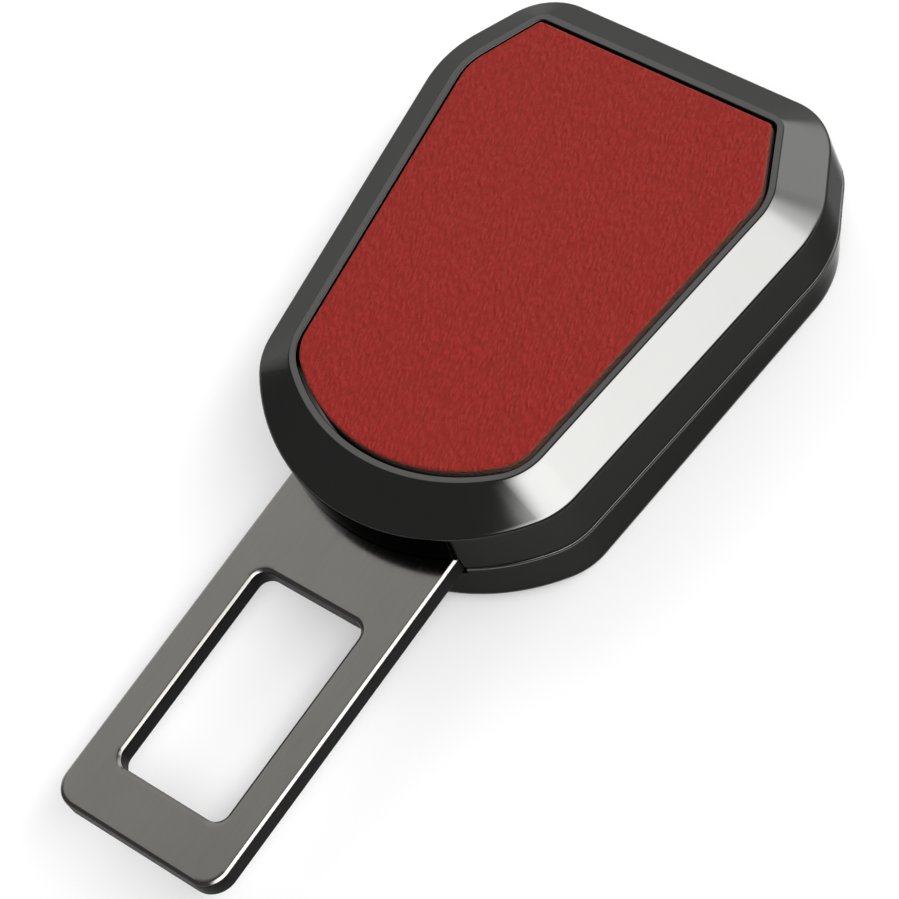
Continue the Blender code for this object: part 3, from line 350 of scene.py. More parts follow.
def meeting(line, other):
    """Where two lines cross."""
    normal = outward(other[1])
    return line[0] + line[1] * (other[0] - line[0]).dot(normal) / line[1].dot(normal)


def arc(centre, radius, start, end):
    """Points on an arc, clockwise from the direction start to the direction end."""
    angle = -start.angle_signed(end)
    turns = [Matrix.Rotation(angle * i / ARC_STEPS, 2) for i in range(ARC_STEPS + 1)]
    return [centre + rotation @ start.normalized() * radius for rotation in turns]


def straight(start, end):
    """Points between two others, closer together near both ends."""
    shares = [0.5 - math.cos(math.pi * i / STRAIGHT_STEPS) / 2 for i in range(1, STRAIGHT_STEPS)]
    return [start.lerp(end, share) for share in shares]


# %% The shield outline
def shield(far_corner, shoulder, near_y, near_radius, radii, grow):
    """A closed outline, grown outwards, with as many points whatever its sizes."""
    far_radius, shoulder_radius, corner_radius = (max(r + grow, SMALLEST_RADIUS) for r in radii)
    far_edge = shifted((far_corner, Vector((1.0, 0.0))), grow)
    facet = shifted((far_corner, (shoulder - far_corner).normalized()), grow)
    side = shifted((shoulder, Vector((-math.sin(SIDE_TAPER), -math.cos(SIDE_TAPER)))), grow)
    arcs = []
    for line, following, radius in ((far_edge, facet, far_radius), (facet, side, shoulder_radius)):
        centre = meeting(shifted(line, -radius), shifted(following, -radius))
        arcs.append(arc(centre, radius, outward(line[1]), outward(following[1])))
    near_radius += grow
    near_centre = Vector((0.0, near_y - grow + near_radius))
    point, direction = shifted(side, -corner_radius)
    foot = point + direction * (near_centre - point).dot(direction)
    reach = near_radius - corner_radius
    centre = foot + direction * math.sqrt(reach**2 - (foot - near_centre).length_squared)
    arcs.append(arc(centre, corner_radius, outward(direction), centre - near_centre))
    half = [Vector((0.0, far_edge[0].y))]
    for curve in arcs:
        half += straight(half[-1], curve[0]) + curve
    half += arc(near_centre, near_radius, centre - near_centre, Vector((0.0, -1.0)))[1:]
    return half + [Vector((-p.x, p.y)) for p in reversed(half[1:-1])]


def head_ring(grow=0.0):
    """The head's outline, grown outwards."""
    return shield(HEAD_FAR_CORNER, HEAD_SHOULDER, NEAR_Y, HEAD_NEAR_RADIUS, HEAD_RADII, grow)


def panel_ring(grow=0.0):
    """The panel's outline, grown outwards."""
    near_y = NEAR_Y + PANEL_MARGIN
    return shield(PANEL_FAR_CORNER, PANEL_SHOULDER, near_y, PANEL_NEAR_RADIUS, PANEL_RADII, grow)


print("points in an outline:", len(head_ring()), len(panel_ring()))


# %% [markdown]
# A piece is made as a stack of outlines with skin between them, as a shipbuilder lofts a
# hull. Booleans then cut the openings, and weighted normals keep the flats flat in the
# reflections, since a large face counts for more than the narrow ones on its edge.


# %% Making a solid
def new_object(name, mesh):
    """An object of a bmesh, with its faces pointing out."""
    bmesh.ops.remove_doubles(mesh, verts=mesh.verts, dist=1e-7)
    bmesh.ops.recalc_face_normals(mesh, faces=mesh.faces)
    data = bpy.data.meshes.new(name)
    mesh.to_mesh(data)
    mesh.free()
    made = bpy.data.objects.new(name, data)
    bpy.context.scene.collection.objects.link(made)
    return made


def level(outline, z):
    """The points of an outline at one height."""
    return [(x, y, z) for x, y in outline]


def loft(name, rings):
    """A closed solid through rings of points, with a flat end at both ends."""
    mesh = bmesh.new()
    loops = [[mesh.verts.new(point) for point in ring] for ring in rings]
    for low, high in zip(loops, loops[1:]):
        for i in range(len(low)):
            mesh.faces.new((low[i - 1], low[i], high[i], high[i - 1]))
    mesh.faces.new(loops[0])
    mesh.faces.new(loops[-1])
    return new_object(name, mesh)


def block(name, low, high):
    """A box between two corners, to cut or to join."""
    mesh = bmesh.new()
    bmesh.ops.create_cube(mesh, size=1.0)
    low, high = Vector(low), Vector(high)
    mesh.transform(Matrix.Translation((low + high) / 2) @ Matrix.Diagonal((*(high - low), 1.0)))
    return new_object(name, mesh)


def turned(name, profile, place, steps=48):
    """A profile of (radius, z), from its top to its bottom, turned about an upright line."""
    mesh = bmesh.new()
    chain = [mesh.verts.new((radius, 0.0, z)) for radius, z in profile]
    edges = [mesh.edges.new(pair) for pair in zip(chain, chain[1:])]
    axis = {"cent": (0, 0, 0), "axis": (0, 0, 1), "angle": math.tau, "steps": steps}
    bmesh.ops.spin(mesh, geom=chain + edges, use_merge=True, **axis)
    bmesh.ops.remove_doubles(mesh, verts=mesh.verts, dist=1e-7)
    bmesh.ops.translate(mesh, verts=mesh.verts, vec=Vector(place))
    return new_object(name, mesh)


def settle(piece):
    """Makes the piece's modifiers part of its mesh."""
    graph = bpy.context.evaluated_depsgraph_get()
    piece.data = bpy.data.meshes.new_from_object(piece.evaluated_get(graph))
    piece.modifiers.clear()
    return piece


def combine(piece, operation, *others):
    """Cuts the others from the piece, or joins them to it."""
    for other in others:
        change = piece.modifiers.new(other.name, "BOOLEAN")
        change.operation = operation
        change.object = other
    settle(piece)
    for other in others:
        bpy.data.objects.remove(other)
    return piece


# %% Finishing a piece
def dress(piece, body, finish, slot, *nodes, sharp=32.0):
    """Smooths the piece, gives it its material and its body, and hides the nodes it stands for."""
    piece.data.materials.clear()
    piece.data.materials.append(finish)
    piece.data.shade_smooth()
    piece.data.set_sharp_from_angle(angle=math.radians(sharp))
    normals = piece.modifiers.new("normals", "WEIGHTED_NORMAL")
    normals.keep_sharp = True
    settle(piece)
    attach(piece, body)
    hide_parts(*nodes)
    print(piece.name, "has", len(piece.data.polygons), "faces")
    return piece


# %% [markdown]
# The upper cover is the piece that the eye goes to. From its rim a wall rises to the foot of
# a broad bevel, the bevel runs up to a narrow flat lip, and inside the lip the panel's recess
# drops to a deck. The bevel is drawn between two different outlines, the head's and the
# panel's, so it is wider at the near end and its corners fan out.

# %% Heights and shares of the upper cover
COVER_WALL = 1.6 * MM
PARTING_Z = 7.5 * MM
RIM_GAP = 0.15 * MM
RIM_RADIUS = 0.15 * MM
LIP_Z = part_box("upper_cover")[1].z
DECK_Z = 14.18 * MM
ROOF_Z, ROOF_CHAMFER = 13.18 * MM, 0.6 * MM
BEVEL_WIDTH = 4.3 * MM
LIP_MARGIN = 0.33 * MM
LIP_WIDTH = 0.75 * MM
FOOT_RADIUS = 0.25 * MM
LIP_RADIUS = 0.1 * MM
LIP_INNER_RADIUS = 0.15 * MM


def bevel_ring(across):
    """An outline over the bevel: the wall at 0, the lip's outer edge at 1 and its inner at 2."""
    lip_outer = LIP_MARGIN + LIP_WIDTH
    if across > 1.0:
        return panel_ring(lip_outer - (across - 1.0) * LIP_WIDTH)
    return [a.lerp(b, across) for a, b in zip(head_ring(), panel_ring(lip_outer))]


def curved_rings(start, corner, end, steps=7):
    """Rings over a rounded edge, between two points: how far inside the bevel's top, and z."""
    rings = []
    for step in range(steps + 1):
        t = step / steps
        weights = ((1 - t) ** 2, 2 * t * (1 - t), t**2)
        points = zip(start, corner, end)
        inside, z = (sum(w * v for w, v in zip(weights, values)) for values in points)
        width = LIP_WIDTH if inside > 0 else BEVEL_WIDTH
        rings.append(level(bevel_ring(1.0 + inside / width), z))
    return rings


print("the bevel rises", round((LIP_Z - FOOT_Z) / MM, 2), "mm over", BEVEL_WIDTH / MM, "mm")

# %% The upper cover's skin
rim_z = PARTING_Z + RIM_GAP
inner_ring = head_ring(-COVER_WALL)
rings = [level(head_ring(-COVER_WALL - ROOF_CHAMFER), ROOF_Z)]
rings += [level(inner_ring, z) for z in (ROOF_Z - ROOF_CHAMFER, rim_z)]
for i in range(5):
    angle = math.radians(90 * i / 4)
    inset = RIM_RADIUS * (1 - math.sin(angle))
    rings.append(level(head_ring(-inset), rim_z + RIM_RADIUS * (1 - math.cos(angle))))
# Rings close to the edges of the wall keep it flat between them.
wall_heights = (rim_z + 0.5 * MM, (rim_z + FOOT_Z) / 2, FOOT_Z - 0.7 * MM)
rings += [level(head_ring(), z) for z in wall_heights]
slope = (LIP_Z - FOOT_Z) / BEVEL_WIDTH
foot_end = (FOOT_RADIUS - BEVEL_WIDTH, FOOT_Z + FOOT_RADIUS * slope)
rings += curved_rings((-BEVEL_WIDTH, FOOT_Z - FOOT_RADIUS), (-BEVEL_WIDTH, FOOT_Z), foot_end)
for share in (0.1, 0.3, 0.5, 0.7, 0.88):
    rings.append(level(bevel_ring(share), FOOT_Z + share * BEVEL_WIDTH * slope))
rings += curved_rings((-LIP_RADIUS, LIP_Z - LIP_RADIUS * slope), (0.0, LIP_Z), (LIP_RADIUS, LIP_Z))
inner_start = LIP_WIDTH - LIP_INNER_RADIUS
for inside in (LIP_RADIUS + 0.06 * MM, inner_start - 0.06 * MM):
    rings.append(level(bevel_ring(1.0 + inside / LIP_WIDTH), LIP_Z))
inner_end = (LIP_WIDTH, LIP_Z - LIP_INNER_RADIUS)
rings += curved_rings((inner_start, LIP_Z), (LIP_WIDTH, LIP_Z), inner_end, steps=4)
rings += [level(bevel_ring(2.0), z) for z in (LIP_Z - 0.4 * MM, DECK_Z)]
upper = loft("upper_cover_shell", rings)
print("rings in the upper cover:", len(rings))

# %% [markdown]
# Inside, four posts take the case screws and two ribs hold the button's springs. The near
# wall has the tongue's slot, and the far wall the button's window.

# %% Posts, ribs and openings of the upper cover
button_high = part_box("release_button")[1]
SCREWS = ("screw_near_left", "screw_near_right", "screw_far_left", "screw_far_right")
screw_boxes = [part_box(name) for name in SCREWS]
screw_places = [((low + high) / 2).to_2d() for low, high in screw_boxes]
SCREW_TIP_Z = screw_boxes[0][1].z
CLEAR = 0.3 * MM
BUTTON_HALF = 12.0 * MM
RIB_DEPTH, SLOT_DEPTH = 2.5 * MM, 8.1 * MM
POST_TOP_Z = 7.2 * MM
POST_RADIUS, LOWER_POST_RADIUS, SCREW_HOLE_RADIUS = 2.2 * MM, 2.4 * MM, 1.3 * MM


def rods(name, radius, high, low, places):
    """Upright rods of one radius, to join or to cut."""
    profile = [(0.0, high), (radius, high), (radius, low), (0.0, low)]
    return [turned(name, profile, (*place, 0.0)) for place in places]


posts = rods("post", POST_RADIUS, ROOF_Z + CLEAR, POST_TOP_Z + CLEAR, screw_places)
pilots = rods("pilot", SCREW_HOLE_RADIUS, SCREW_TIP_Z + CLEAR, 0.0, screw_places)
spring_boxes = {side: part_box("button_spring_" + side) for side in ("left", "right")}
ribs = []
for low, high in spring_boxes.values():
    back = low.y - CLEAR
    ribs.append(block("rib", (low.x, back - RIB_DEPTH, low.z), (high.x, back, ROOF_Z + CLEAR)))
combine(upper, "UNION", *posts, *ribs)


def tongue_slot():
    """A cutter for the tongue's way through the near wall."""
    low = (tongue_low.x - CLEAR, NEAR_Y - COVER_WALL, tongue_low.z - CLEAR)
    high = (tongue_high.x + CLEAR, NEAR_Y + SLOT_DEPTH, tongue_high.z + CLEAR)
    return block("tongue_slot", low, high)


window_low = (-BUTTON_HALF - CLEAR, FAR_Y - 2 * COVER_WALL, 0.0)
window_high = (BUTTON_HALF + CLEAR, FAR_Y + COVER_WALL, button_high.z + CLEAR)
window = block("button_window", window_low, window_high)
combine(upper, "DIFFERENCE", tongue_slot(), window, *pilots)
dress(upper, "housing", black_chrome, "cover_chrome", "upper_cover")

# %% [markdown]
# The lower cover is a shallow tray. Its walls stand upright at the near end and lean in more
# and more towards the far end, and a rounded edge leads to the flat bottom. A step inside
# the rim locates the upper cover. Its rim's rounding gives the bright line at the parting,
# helped by a painted highlight: a lighter colour on a thin band of that rounding.

# %% The lower cover's skin
FAR_WALL_LEAN = 0.26
HEAD_LENGTH = FAR_Y - NEAR_Y
BOTTOM_RADIUS = 2.3 * MM
FLOOR_Z = 1.6 * MM
STEP_TOP_Z, STEP_WIDTH = PARTING_Z + 0.85 * MM, 0.7 * MM


def leaning_ring(grow, z):
    """The lower cover's outline at a height."""
    lean = FAR_WALL_LEAN * max(PARTING_Z - z, 0.0)
    pairs = zip(head_ring(grow), head_ring(grow - lean))
    return level([a.lerp(b, (a.y - NEAR_Y) / HEAD_LENGTH) for a, b in pairs], z)


rings = []
for i in range(13):
    angle = math.radians(90 * i / 12)
    inset = BOTTOM_RADIUS * (1 - math.sin(angle))
    rings.append(leaning_ring(-inset, BOTTOM_RADIUS * (1 - math.cos(angle))))
top_z = PARTING_Z - RIM_GAP
LOWER_RIM_RADIUS = 0.35 * MM
wall_heights = (BOTTOM_RADIUS + 0.4 * MM, (BOTTOM_RADIUS + top_z) / 2, top_z - 0.6 * MM)
rings += [leaning_ring(0.0, z) for z in wall_heights]
for i in range(7):
    angle = math.radians(90 * i / 6)
    inset = LOWER_RIM_RADIUS * (1 - math.cos(angle))
    rings.append(level(head_ring(-inset), top_z - LOWER_RIM_RADIUS * (1 - math.sin(angle))))
rings += [level(head_ring(-COVER_WALL - CLEAR), z) for z in (top_z, STEP_TOP_Z)]
inner_ring = head_ring(-COVER_WALL - CLEAR - STEP_WIDTH)
rings += [level(inner_ring, z) for z in (STEP_TOP_Z, FLOOR_Z)]
lower = loft("lower_cover_shell", rings)
print("rings in the lower cover:", len(rings))

# %% Posts, screw holes and the socket's mouth
HEAD_SEAT_Z = 0.8 * MM
MOUTH_HALF = 12.6 * MM
MOUTH_LOW_Z = 3.1 * MM
MOUTH_DEPTH, MOUTH_FLARE = 4.0 * MM, 0.73 * MM
HEAD_HOLE_RADIUS, POST_ROOM_RADIUS = 2.0 * MM, 2.5 * MM
posts = rods("post", LOWER_POST_RADIUS, POST_TOP_Z, FLOOR_Z / 2, screw_places)
combine(lower, "UNION", *posts)
hole = [(0.0, PARTING_Z + CLEAR), (SCREW_HOLE_RADIUS, PARTING_Z + CLEAR)]
hole += [(SCREW_HOLE_RADIUS, HEAD_SEAT_Z + 1.0 * MM), (HEAD_HOLE_RADIUS, HEAD_SEAT_Z + CLEAR)]
hole += [(HEAD_HOLE_RADIUS, -CLEAR), (0.0, -CLEAR)]
holes = [turned("screw_hole", hole, (*place, 0.0)) for place in screw_places]
# The upper cover's two near posts stand close to the wall, so the step makes room for them.
room_low_z = POST_TOP_Z - 0.1 * MM
rooms = rods("post_room", POST_ROOM_RADIUS, FOOT_Z, room_low_z, screw_places[:2])
mouth_low = (-MOUTH_HALF, FAR_Y - MOUTH_DEPTH, MOUTH_LOW_Z)
mouth = block("mouth", mouth_low, (MOUTH_HALF, FAR_Y + COVER_WALL, FOOT_Z))
for vertex in mouth.data.vertices:
    if vertex.co.y > FAR_Y:
        vertex.co.x += math.copysign(MOUTH_FLARE, vertex.co.x)
        if vertex.co.z < PARTING_Z:
            vertex.co.z -= MOUTH_FLARE
combine(lower, "DIFFERENCE", *rooms, *holes, tongue_slot(), mouth)
dress(lower, "housing", black_chrome, "cover_chrome", "lower_cover")

# %% [markdown]
# The panel is a stiff plate in the recess with leather glued on. The plate is a plain loft.
# The leather is a sheet with a life of its own: its edge rolls down, it swells a little
# towards the middle and it is never quite even, which softens the light on it.

# %% The backing plate
plate_low, plate_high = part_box("panel_plate")
rings = [level(panel_ring(-0.1 * MM), plate_low.z), level(panel_ring(), plate_low.z + 0.1 * MM)]
rings += [level(panel_ring(), plate_high.z - 0.1 * MM), level(panel_ring(-0.1 * MM), plate_high.z)]
plate = loft("panel_backing", rings)
dress(plate, "housing", black_nylon, "black_plastic", "panel_plate")

# %% The leather
LEATHER_INSET = 0.1 * MM
EDGE_ROLL = 0.25 * MM
ROLL_DROP = 0.03 * MM
ROLL_REACH = 1.2 * MM
SWELL = 0.02 * MM
leather_low, leather_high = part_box("leather_skin")
middle = Vector((0.0, (leather_low.y + leather_high.y) / 2))


def leather_height(place, from_edge):
    """How high the leather lies, rolled down at its edge and softly uneven."""
    uneven = noise.noise(Vector((place.x, place.y, 0.0)) / (5.0 * MM)) * SWELL
    rolled = ROLL_DROP * math.exp(-from_edge / ROLL_REACH)
    return leather_high.z - SWELL - rolled + uneven * min(1.0, from_edge / MM)


edge_line = panel_ring(-LEATHER_INSET)
side_top_z = leather_high.z - EDGE_ROLL - ROLL_DROP - SWELL
rings = [level(edge_line, z) for z in (plate_high.z + 0.02 * MM, side_top_z)]
for i in range(1, 9):
    angle = math.radians(90 * i / 8)
    ring = panel_ring(-LEATHER_INSET - EDGE_ROLL * (1 - math.cos(angle)))
    drop = EDGE_ROLL * (1 - math.sin(angle))
    rings.append([(p.x, p.y, leather_height(p, 0.0) - drop) for p in ring])
last = panel_ring(-LEATHER_INSET - EDGE_ROLL)
shares = [0.995, 0.985, 0.97, 0.95, 0.925] + [0.9 - 0.02 * i for i in range(45)]
for share in shares:
    ring = [middle.lerp(p, share) for p in last]
    rings.append([(p.x, p.y, leather_height(p, (q - p).length)) for p, q in zip(ring, last)])
skin = loft("leather_panel", rings)
dress(skin, "housing", leather, "leather", "leather_skin")

# %% [markdown]
# The tongue is a stamped plate with a window, in which a buckle's latch catches, and two
# rivet holes. Each outline is drawn at several sizes to round its edges, which catch the
# light, and a triangle fill closes the faces between the outlines.


# %% Outlines of the tongue
RIVET_HOLE_RADIUS = 1.9 * MM


def rounded_box(low, high, radii, grow):
    """A rectangle with a radius for each corner, from the low left one, grown outwards."""
    x0, y0, x1, y1 = low[0] - grow, low[1] - grow, high[0] + grow, high[1] + grow
    corners = [(x0, y0), (x1, y0), (x1, y1), (x0, y1)]
    points = []
    for i, (corner, radius) in enumerate(zip(corners, radii)):
        radius = max(radius + grow, SMALLEST_RADIUS)
        inwards = Vector((1 if i in (0, 3) else -1, 1 if i < 2 else -1))
        centre = Vector(corner) + inwards * radius
        for step in range(ARC_STEPS + 1):
            angle = math.pi + math.radians(90 * (i + step / ARC_STEPS))
            points.append(centre + radius * Vector((math.cos(angle), math.sin(angle))))
    return points


def rivet_hole(low, high, grow):
    """The round hole for the rivet in a box."""
    centre, radius = ((low + high) / 2).to_2d(), RIVET_HOLE_RADIUS + grow
    turns = [math.tau * i / 48 for i in range(48)]
    return [centre + radius * Vector((math.cos(angle), math.sin(angle))) for angle in turns]


WINDOW_WIDTH, WINDOW_LENGTH, TIP_BAR = 14.1 * MM, 24.4 * MM, 6.1 * MM
WINDOW_LOW = Vector((-WINDOW_WIDTH / 2, tongue_low.y + TIP_BAR))
WINDOW_HIGH = WINDOW_LOW + Vector((WINDOW_WIDTH, WINDOW_LENGTH))
TIP_RADIUS, END_RADIUS, WINDOW_RADIUS = 2.7 * MM, 0.8 * MM, 1.5 * MM


def tongue_outlines(inset):
    """The plate's outline and its holes, all drawn back from the plate's edges."""
    plate_radii = (TIP_RADIUS, TIP_RADIUS, END_RADIUS, END_RADIUS)
    outlines = [rounded_box(tongue_low.to_2d(), tongue_high.to_2d(), plate_radii, -inset)]
    outlines.append(rounded_box(WINDOW_LOW, WINDOW_HIGH, (WINDOW_RADIUS,) * 4, inset))
    return outlines + [rivet_hole(*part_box("rivet_" + side), inset) for side in ("left", "right")]


print("outlines of the tongue:", len(tongue_outlines(0.0)))

# %% The tongue
# The rolled edge, in millimetres: how far inside the outline, and how far below the face.
EDGE_ROLL_MM = [(0.77, 0.0), (0.43, 0.0), (0.4, 0.006), (0.37, 0.018), (0.33, 0.04), (0.1, 0.185)]
EDGE_ROLL_MM += [(0.065, 0.21), (0.035, 0.245), (0.01, 0.3), (0.0, 0.37)]
levels = [(inset * MM, tongue_high.z - drop * MM) for inset, drop in EDGE_ROLL_MM]
levels += [(inset, tongue_low.z + tongue_high.z - z) for inset, z in reversed(levels)]
mesh = bmesh.new()
stacks = zip(*(tongue_outlines(inset) for inset, _ in levels))
faces = ([], [])
for stack in stacks:
    loops = [[mesh.verts.new((*p, z)) for p in outline] for outline, (_, z) in zip(stack, levels)]
    for low, high in zip(loops, loops[1:]):
        for i in range(len(low)):
            mesh.faces.new((low[i - 1], low[i], high[i], high[i - 1]))
    for edges, loop in zip(faces, (loops[0], loops[-1])):
        edges += [mesh.edges.get((loop[i - 1], loop[i])) for i in range(len(loop))]
for edges in faces:
    bmesh.ops.triangle_fill(mesh, edges=edges, use_beauty=True)
tongue = new_object("tongue_blade", mesh)
dress(tongue, "housing", gunmetal, "tongue_chrome", "tongue_plate")

# %% [markdown]
# The release button fills the window in the far end. It is moulded with softened edges and
# three grip grooves, two arms reach forward from it to lift the latch, and its wings stand
# against the two springs.

# %% The release button
BUTTON_DEPTH = 9.5 * MM
ARM_Z = 7.8 * MM
back_y = button_high.y - BUTTON_DEPTH
button_front = (BUTTON_HALF, button_high.y, button_high.z)
button = block("red_button", (-BUTTON_HALF, back_y, ARM_Z + 0.15 * MM), button_front)
bevel = button.modifiers.new("edges", "BEVEL")
bevel.width = 0.5 * MM
bevel.segments = 5
settle(button)
RAMP_Y, RAMP_LOW_Z, RAMP_HIGH_Z = 22.325 * MM, 8.1 * MM, 11.45 * MM
ROOT_Y, ROOT_Z = back_y + 4.75 * MM, 8.45 * MM
arm_profile = [(RAMP_Y - 1.7 * MM, ARM_Z), (RAMP_Y - 1.7 * MM, RAMP_LOW_Z)]
arm_profile += [(RAMP_Y, RAMP_LOW_Z), (RAMP_Y + 5.37 * MM, RAMP_HIGH_Z)]
arm_profile += [(ROOT_Y, RAMP_HIGH_Z), (ROOT_Y, ROOT_Z), (back_y - 0.5 * MM, ROOT_Z)]
arm_profile += [(back_y - MM, ARM_Z)]
ARM_INNER_X, ARM_OUTER_X = 9.3 * MM, 11.9 * MM
arms = []
for side in (-1, 1):
    sections = [[(side * x, y, z) for y, z in arm_profile] for x in (ARM_INNER_X, ARM_OUTER_X)]
    arms.append(loft("arm", sections))
WING_NEAR_Y, WING_FAR_Y = 37.275 * MM, 39.775 * MM
WING_LOW_Z, WING_HIGH_Z = 8.95 * MM, 10.95 * MM
wings_low = (-button_high.x, WING_NEAR_Y, WING_LOW_Z)
wings = block("wings", wings_low, (button_high.x, WING_FAR_Y, WING_HIGH_Z))
combine(button, "UNION", wings, *arms)
GROOVE_HALF, GROOVE_DEPTH, GROOVE_SPACING = 0.25 * MM, 0.3 * MM, 1.0 * MM
GROOVE_REACH = 8.0 * MM
grooves = []
for i in (-1, 0, 1):
    z = (ARM_Z + button_high.z) / 2 + i * GROOVE_SPACING
    low = (-GROOVE_REACH, button_high.y - GROOVE_DEPTH, z - GROOVE_HALF)
    high = (GROOVE_REACH, button_high.y + MM, z + GROOVE_HALF)
    grooves.append(block("groove", low, high))
combine(button, "DIFFERENCE", *grooves)
dress(button, "button", red_abs, "red_plastic", "release_button")

# %% [markdown]
# Springs repeat one rule, so Geometry Nodes wind them: a spiral is spread along its height,
# closer at both ends as on a ground spring, and a round wire is swept along it. The tree's
# inputs are its sizes, and each spring is the same tree with other values.

# %% A tree that winds a spring
winder = bpy.data.node_groups.new("wind_a_spring", "GeometryNodeTree")
for name in ("Coil radius", "Wire radius", "Turns", "Length"):
    winder.interface.new_socket(name, in_out="INPUT", socket_type="NodeSocketFloat")
winder.interface.new_socket("Finish", in_out="INPUT", socket_type="NodeSocketMaterial")
winder.interface.new_socket("Geometry", in_out="OUTPUT", socket_type="NodeSocketGeometry")
given = add(winder, "NodeGroupInput").outputs
END_CLOSENESS = 0.55
radii = {"Start Radius": given["Coil radius"], "End Radius": given["Coil radius"]}
inputs = {"Resolution": 40, "Rotations": given["Turns"], "Height": 0.0} | radii
spiral = add(winder, "GeometryNodeCurveSpiral", inputs)
along = add(winder, "GeometryNodeSplineParameter").outputs["Factor"]
eased = add(winder, "ShaderNodeMapRange", {"Value": along}, interpolation_type="SMOOTHSTEP")
share = add(winder, "ShaderNodeMix", {"Factor": END_CLOSENESS, "A": along, "B": eased})
thick = add(winder, "ShaderNodeMath", {0: given["Wire radius"], 1: 2.0}, operation="MULTIPLY")
free = add(winder, "ShaderNodeMath", {0: given["Length"], 1: thick}, operation="SUBTRACT")
inputs = {0: share, 1: free, 2: given["Wire radius"]}
rise = add(winder, "ShaderNodeMath", inputs, operation="MULTIPLY_ADD")
lift = add(winder, "ShaderNodeCombineXYZ", {"Z": rise})
inputs = {"Geometry": spiral.outputs["Curve"], "Offset": lift}
wound = add(winder, "GeometryNodeSetPosition", inputs)
inputs = {"Resolution": 12, "Radius": given["Wire radius"]}
ring = add(winder, "GeometryNodeCurvePrimitiveCircle", inputs)
inputs = {"Curve": wound.outputs["Geometry"], "Profile Curve": ring.outputs["Curve"]}
wire = add(winder, "GeometryNodeCurveToMesh", inputs | {"Fill Caps": True})
realised = add(winder, "GeometryNodeRealizeInstances", {"Geometry": wire.outputs["Mesh"]})
inputs = {"Geometry": realised.outputs["Geometry"], "Material": given["Finish"]}
painted = add(winder, "GeometryNodeSetMaterial", inputs)
add(winder, "NodeGroupOutput", {"Geometry": painted.outputs["Geometry"]})
print("a spring takes", len(winder.nodes), "nodes")


# %% Run a tree and keep its mesh
def grow_mesh(name, tree, values, places=()):
    """What a node tree grows from points, or from none: its inputs get values by their names."""
    points = bpy.data.meshes.new(name)
    points.from_pydata([(*place, 0.0) for place in places], [], [])
    made = bpy.data.objects.new(name, points)
    bpy.context.scene.collection.objects.link(made)
    grower = made.modifiers.new("grow", "NODES")
    grower.node_group = tree
    for socket in tree.interface.items_tree:
        if socket.in_out == "INPUT" and socket.name in values:
            grower[socket.identifier] = values[socket.name]
    return settle(made)


def wind(name, start, end, coil_mm, wire_mm, turns):
    """A spring between two points."""
    start, end = Vector(start), Vector(end)
    values = {"Coil radius": coil_mm * MM, "Wire radius": wire_mm * MM, "Turns": float(turns)}
    values |= {"Length": (end - start).length, "Finish": spring_steel}
    spring = grow_mesh(name + "_coil", winder, values)
    axis = (end - start).normalized()
    turn = axis.to_track_quat("Z", "Y").to_matrix().to_4x4()
    spring.data.transform(Matrix.Translation(start) @ turn)
    dress(spring, "housing", spring_steel, "spring_steel", name)
    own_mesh(spring)


# %% The four springs
# Each call says the ends, the radii of coil and wire in millimetres, and the turns.
BUTTON_SPRING_Y = (27.075 * MM, 36.975 * MM)
EJECTOR_SPRING_Y, EJECTOR_SPRING_Z = (8.275 * MM, 19.425 * MM), 5.15 * MM
LATCH_SPRING_Y, LATCH_SPRING_Z = 17.175 * MM, (9.7 * MM, 12.88 * MM)
for side in ("left", "right"):
    low, high = spring_boxes[side]
    x, z = (low.x + high.x) / 2, (low.z + high.z) / 2
    start, end = ((x, y, z) for y in BUTTON_SPRING_Y)
    wind("button_spring_" + side, start, end, 1.4, 0.25, 6)
start, end = ((0.0, y, EJECTOR_SPRING_Z) for y in EJECTOR_SPRING_Y)
wind("ejector_spring", start, end, 1.1, 0.25, 6)
start, end = ((0.0, LATCH_SPRING_Y, z) for z in LATCH_SPRING_Z)
wind("latch_spring", start, end, 1.4, 0.2, 3)

# %% [markdown]
# The case screws are four of a kind. One screw is turned and gets its cross recess, and a
# second tree stands a copy on each of four points, realises the copies and paints them.

# %% One screw
SCREW_HEAD = 1.7 * MM
SCREW_CORE = 0.8 * MM
THREAD_PITCH, THREAD_RADIUS, THREAD_END_Z = 0.7 * MM, 1.0 * MM, 3.2 * MM
RECESS_DEPTH, RECESS_TAPER = 0.55 * MM, 0.6
profile = [(0.0, SCREW_TIP_Z), (0.25 * MM, SCREW_TIP_Z), (SCREW_CORE, SCREW_TIP_Z - 0.9 * MM)]
z = SCREW_TIP_Z - 0.9 * MM
while z > THREAD_END_Z:
    profile += [(THREAD_RADIUS, z - THREAD_PITCH / 2), (SCREW_CORE, z - THREAD_PITCH)]
    z -= THREAD_PITCH
profile += [(THREAD_RADIUS, z - 0.2 * MM), (THREAD_RADIUS, HEAD_SEAT_Z + 0.7 * MM)]
profile += [(SCREW_HEAD, HEAD_SEAT_Z + 0.08 * MM), (SCREW_HEAD - 0.05 * MM, HEAD_SEAT_Z)]
profile.append((0.0, HEAD_SEAT_Z))
screw = turned("screw", profile, (0.0, 0.0, 0.0), steps=32)
recess = []
for half_x, half_y in ((1.1, 0.25), (0.25, 1.1)):
    high = Vector((half_x * MM, half_y * MM, HEAD_SEAT_Z + RECESS_DEPTH))
    cross = block("recess", (-high.x, -high.y, 0.0), high)
    for vertex in cross.data.vertices:
        if vertex.co.z > HEAD_SEAT_Z:
            vertex.co.x *= RECESS_TAPER
            vertex.co.y *= RECESS_TAPER
    recess.append(cross)
combine(screw, "DIFFERENCE", *recess)
print("one screw has", len(screw.data.polygons), "faces")

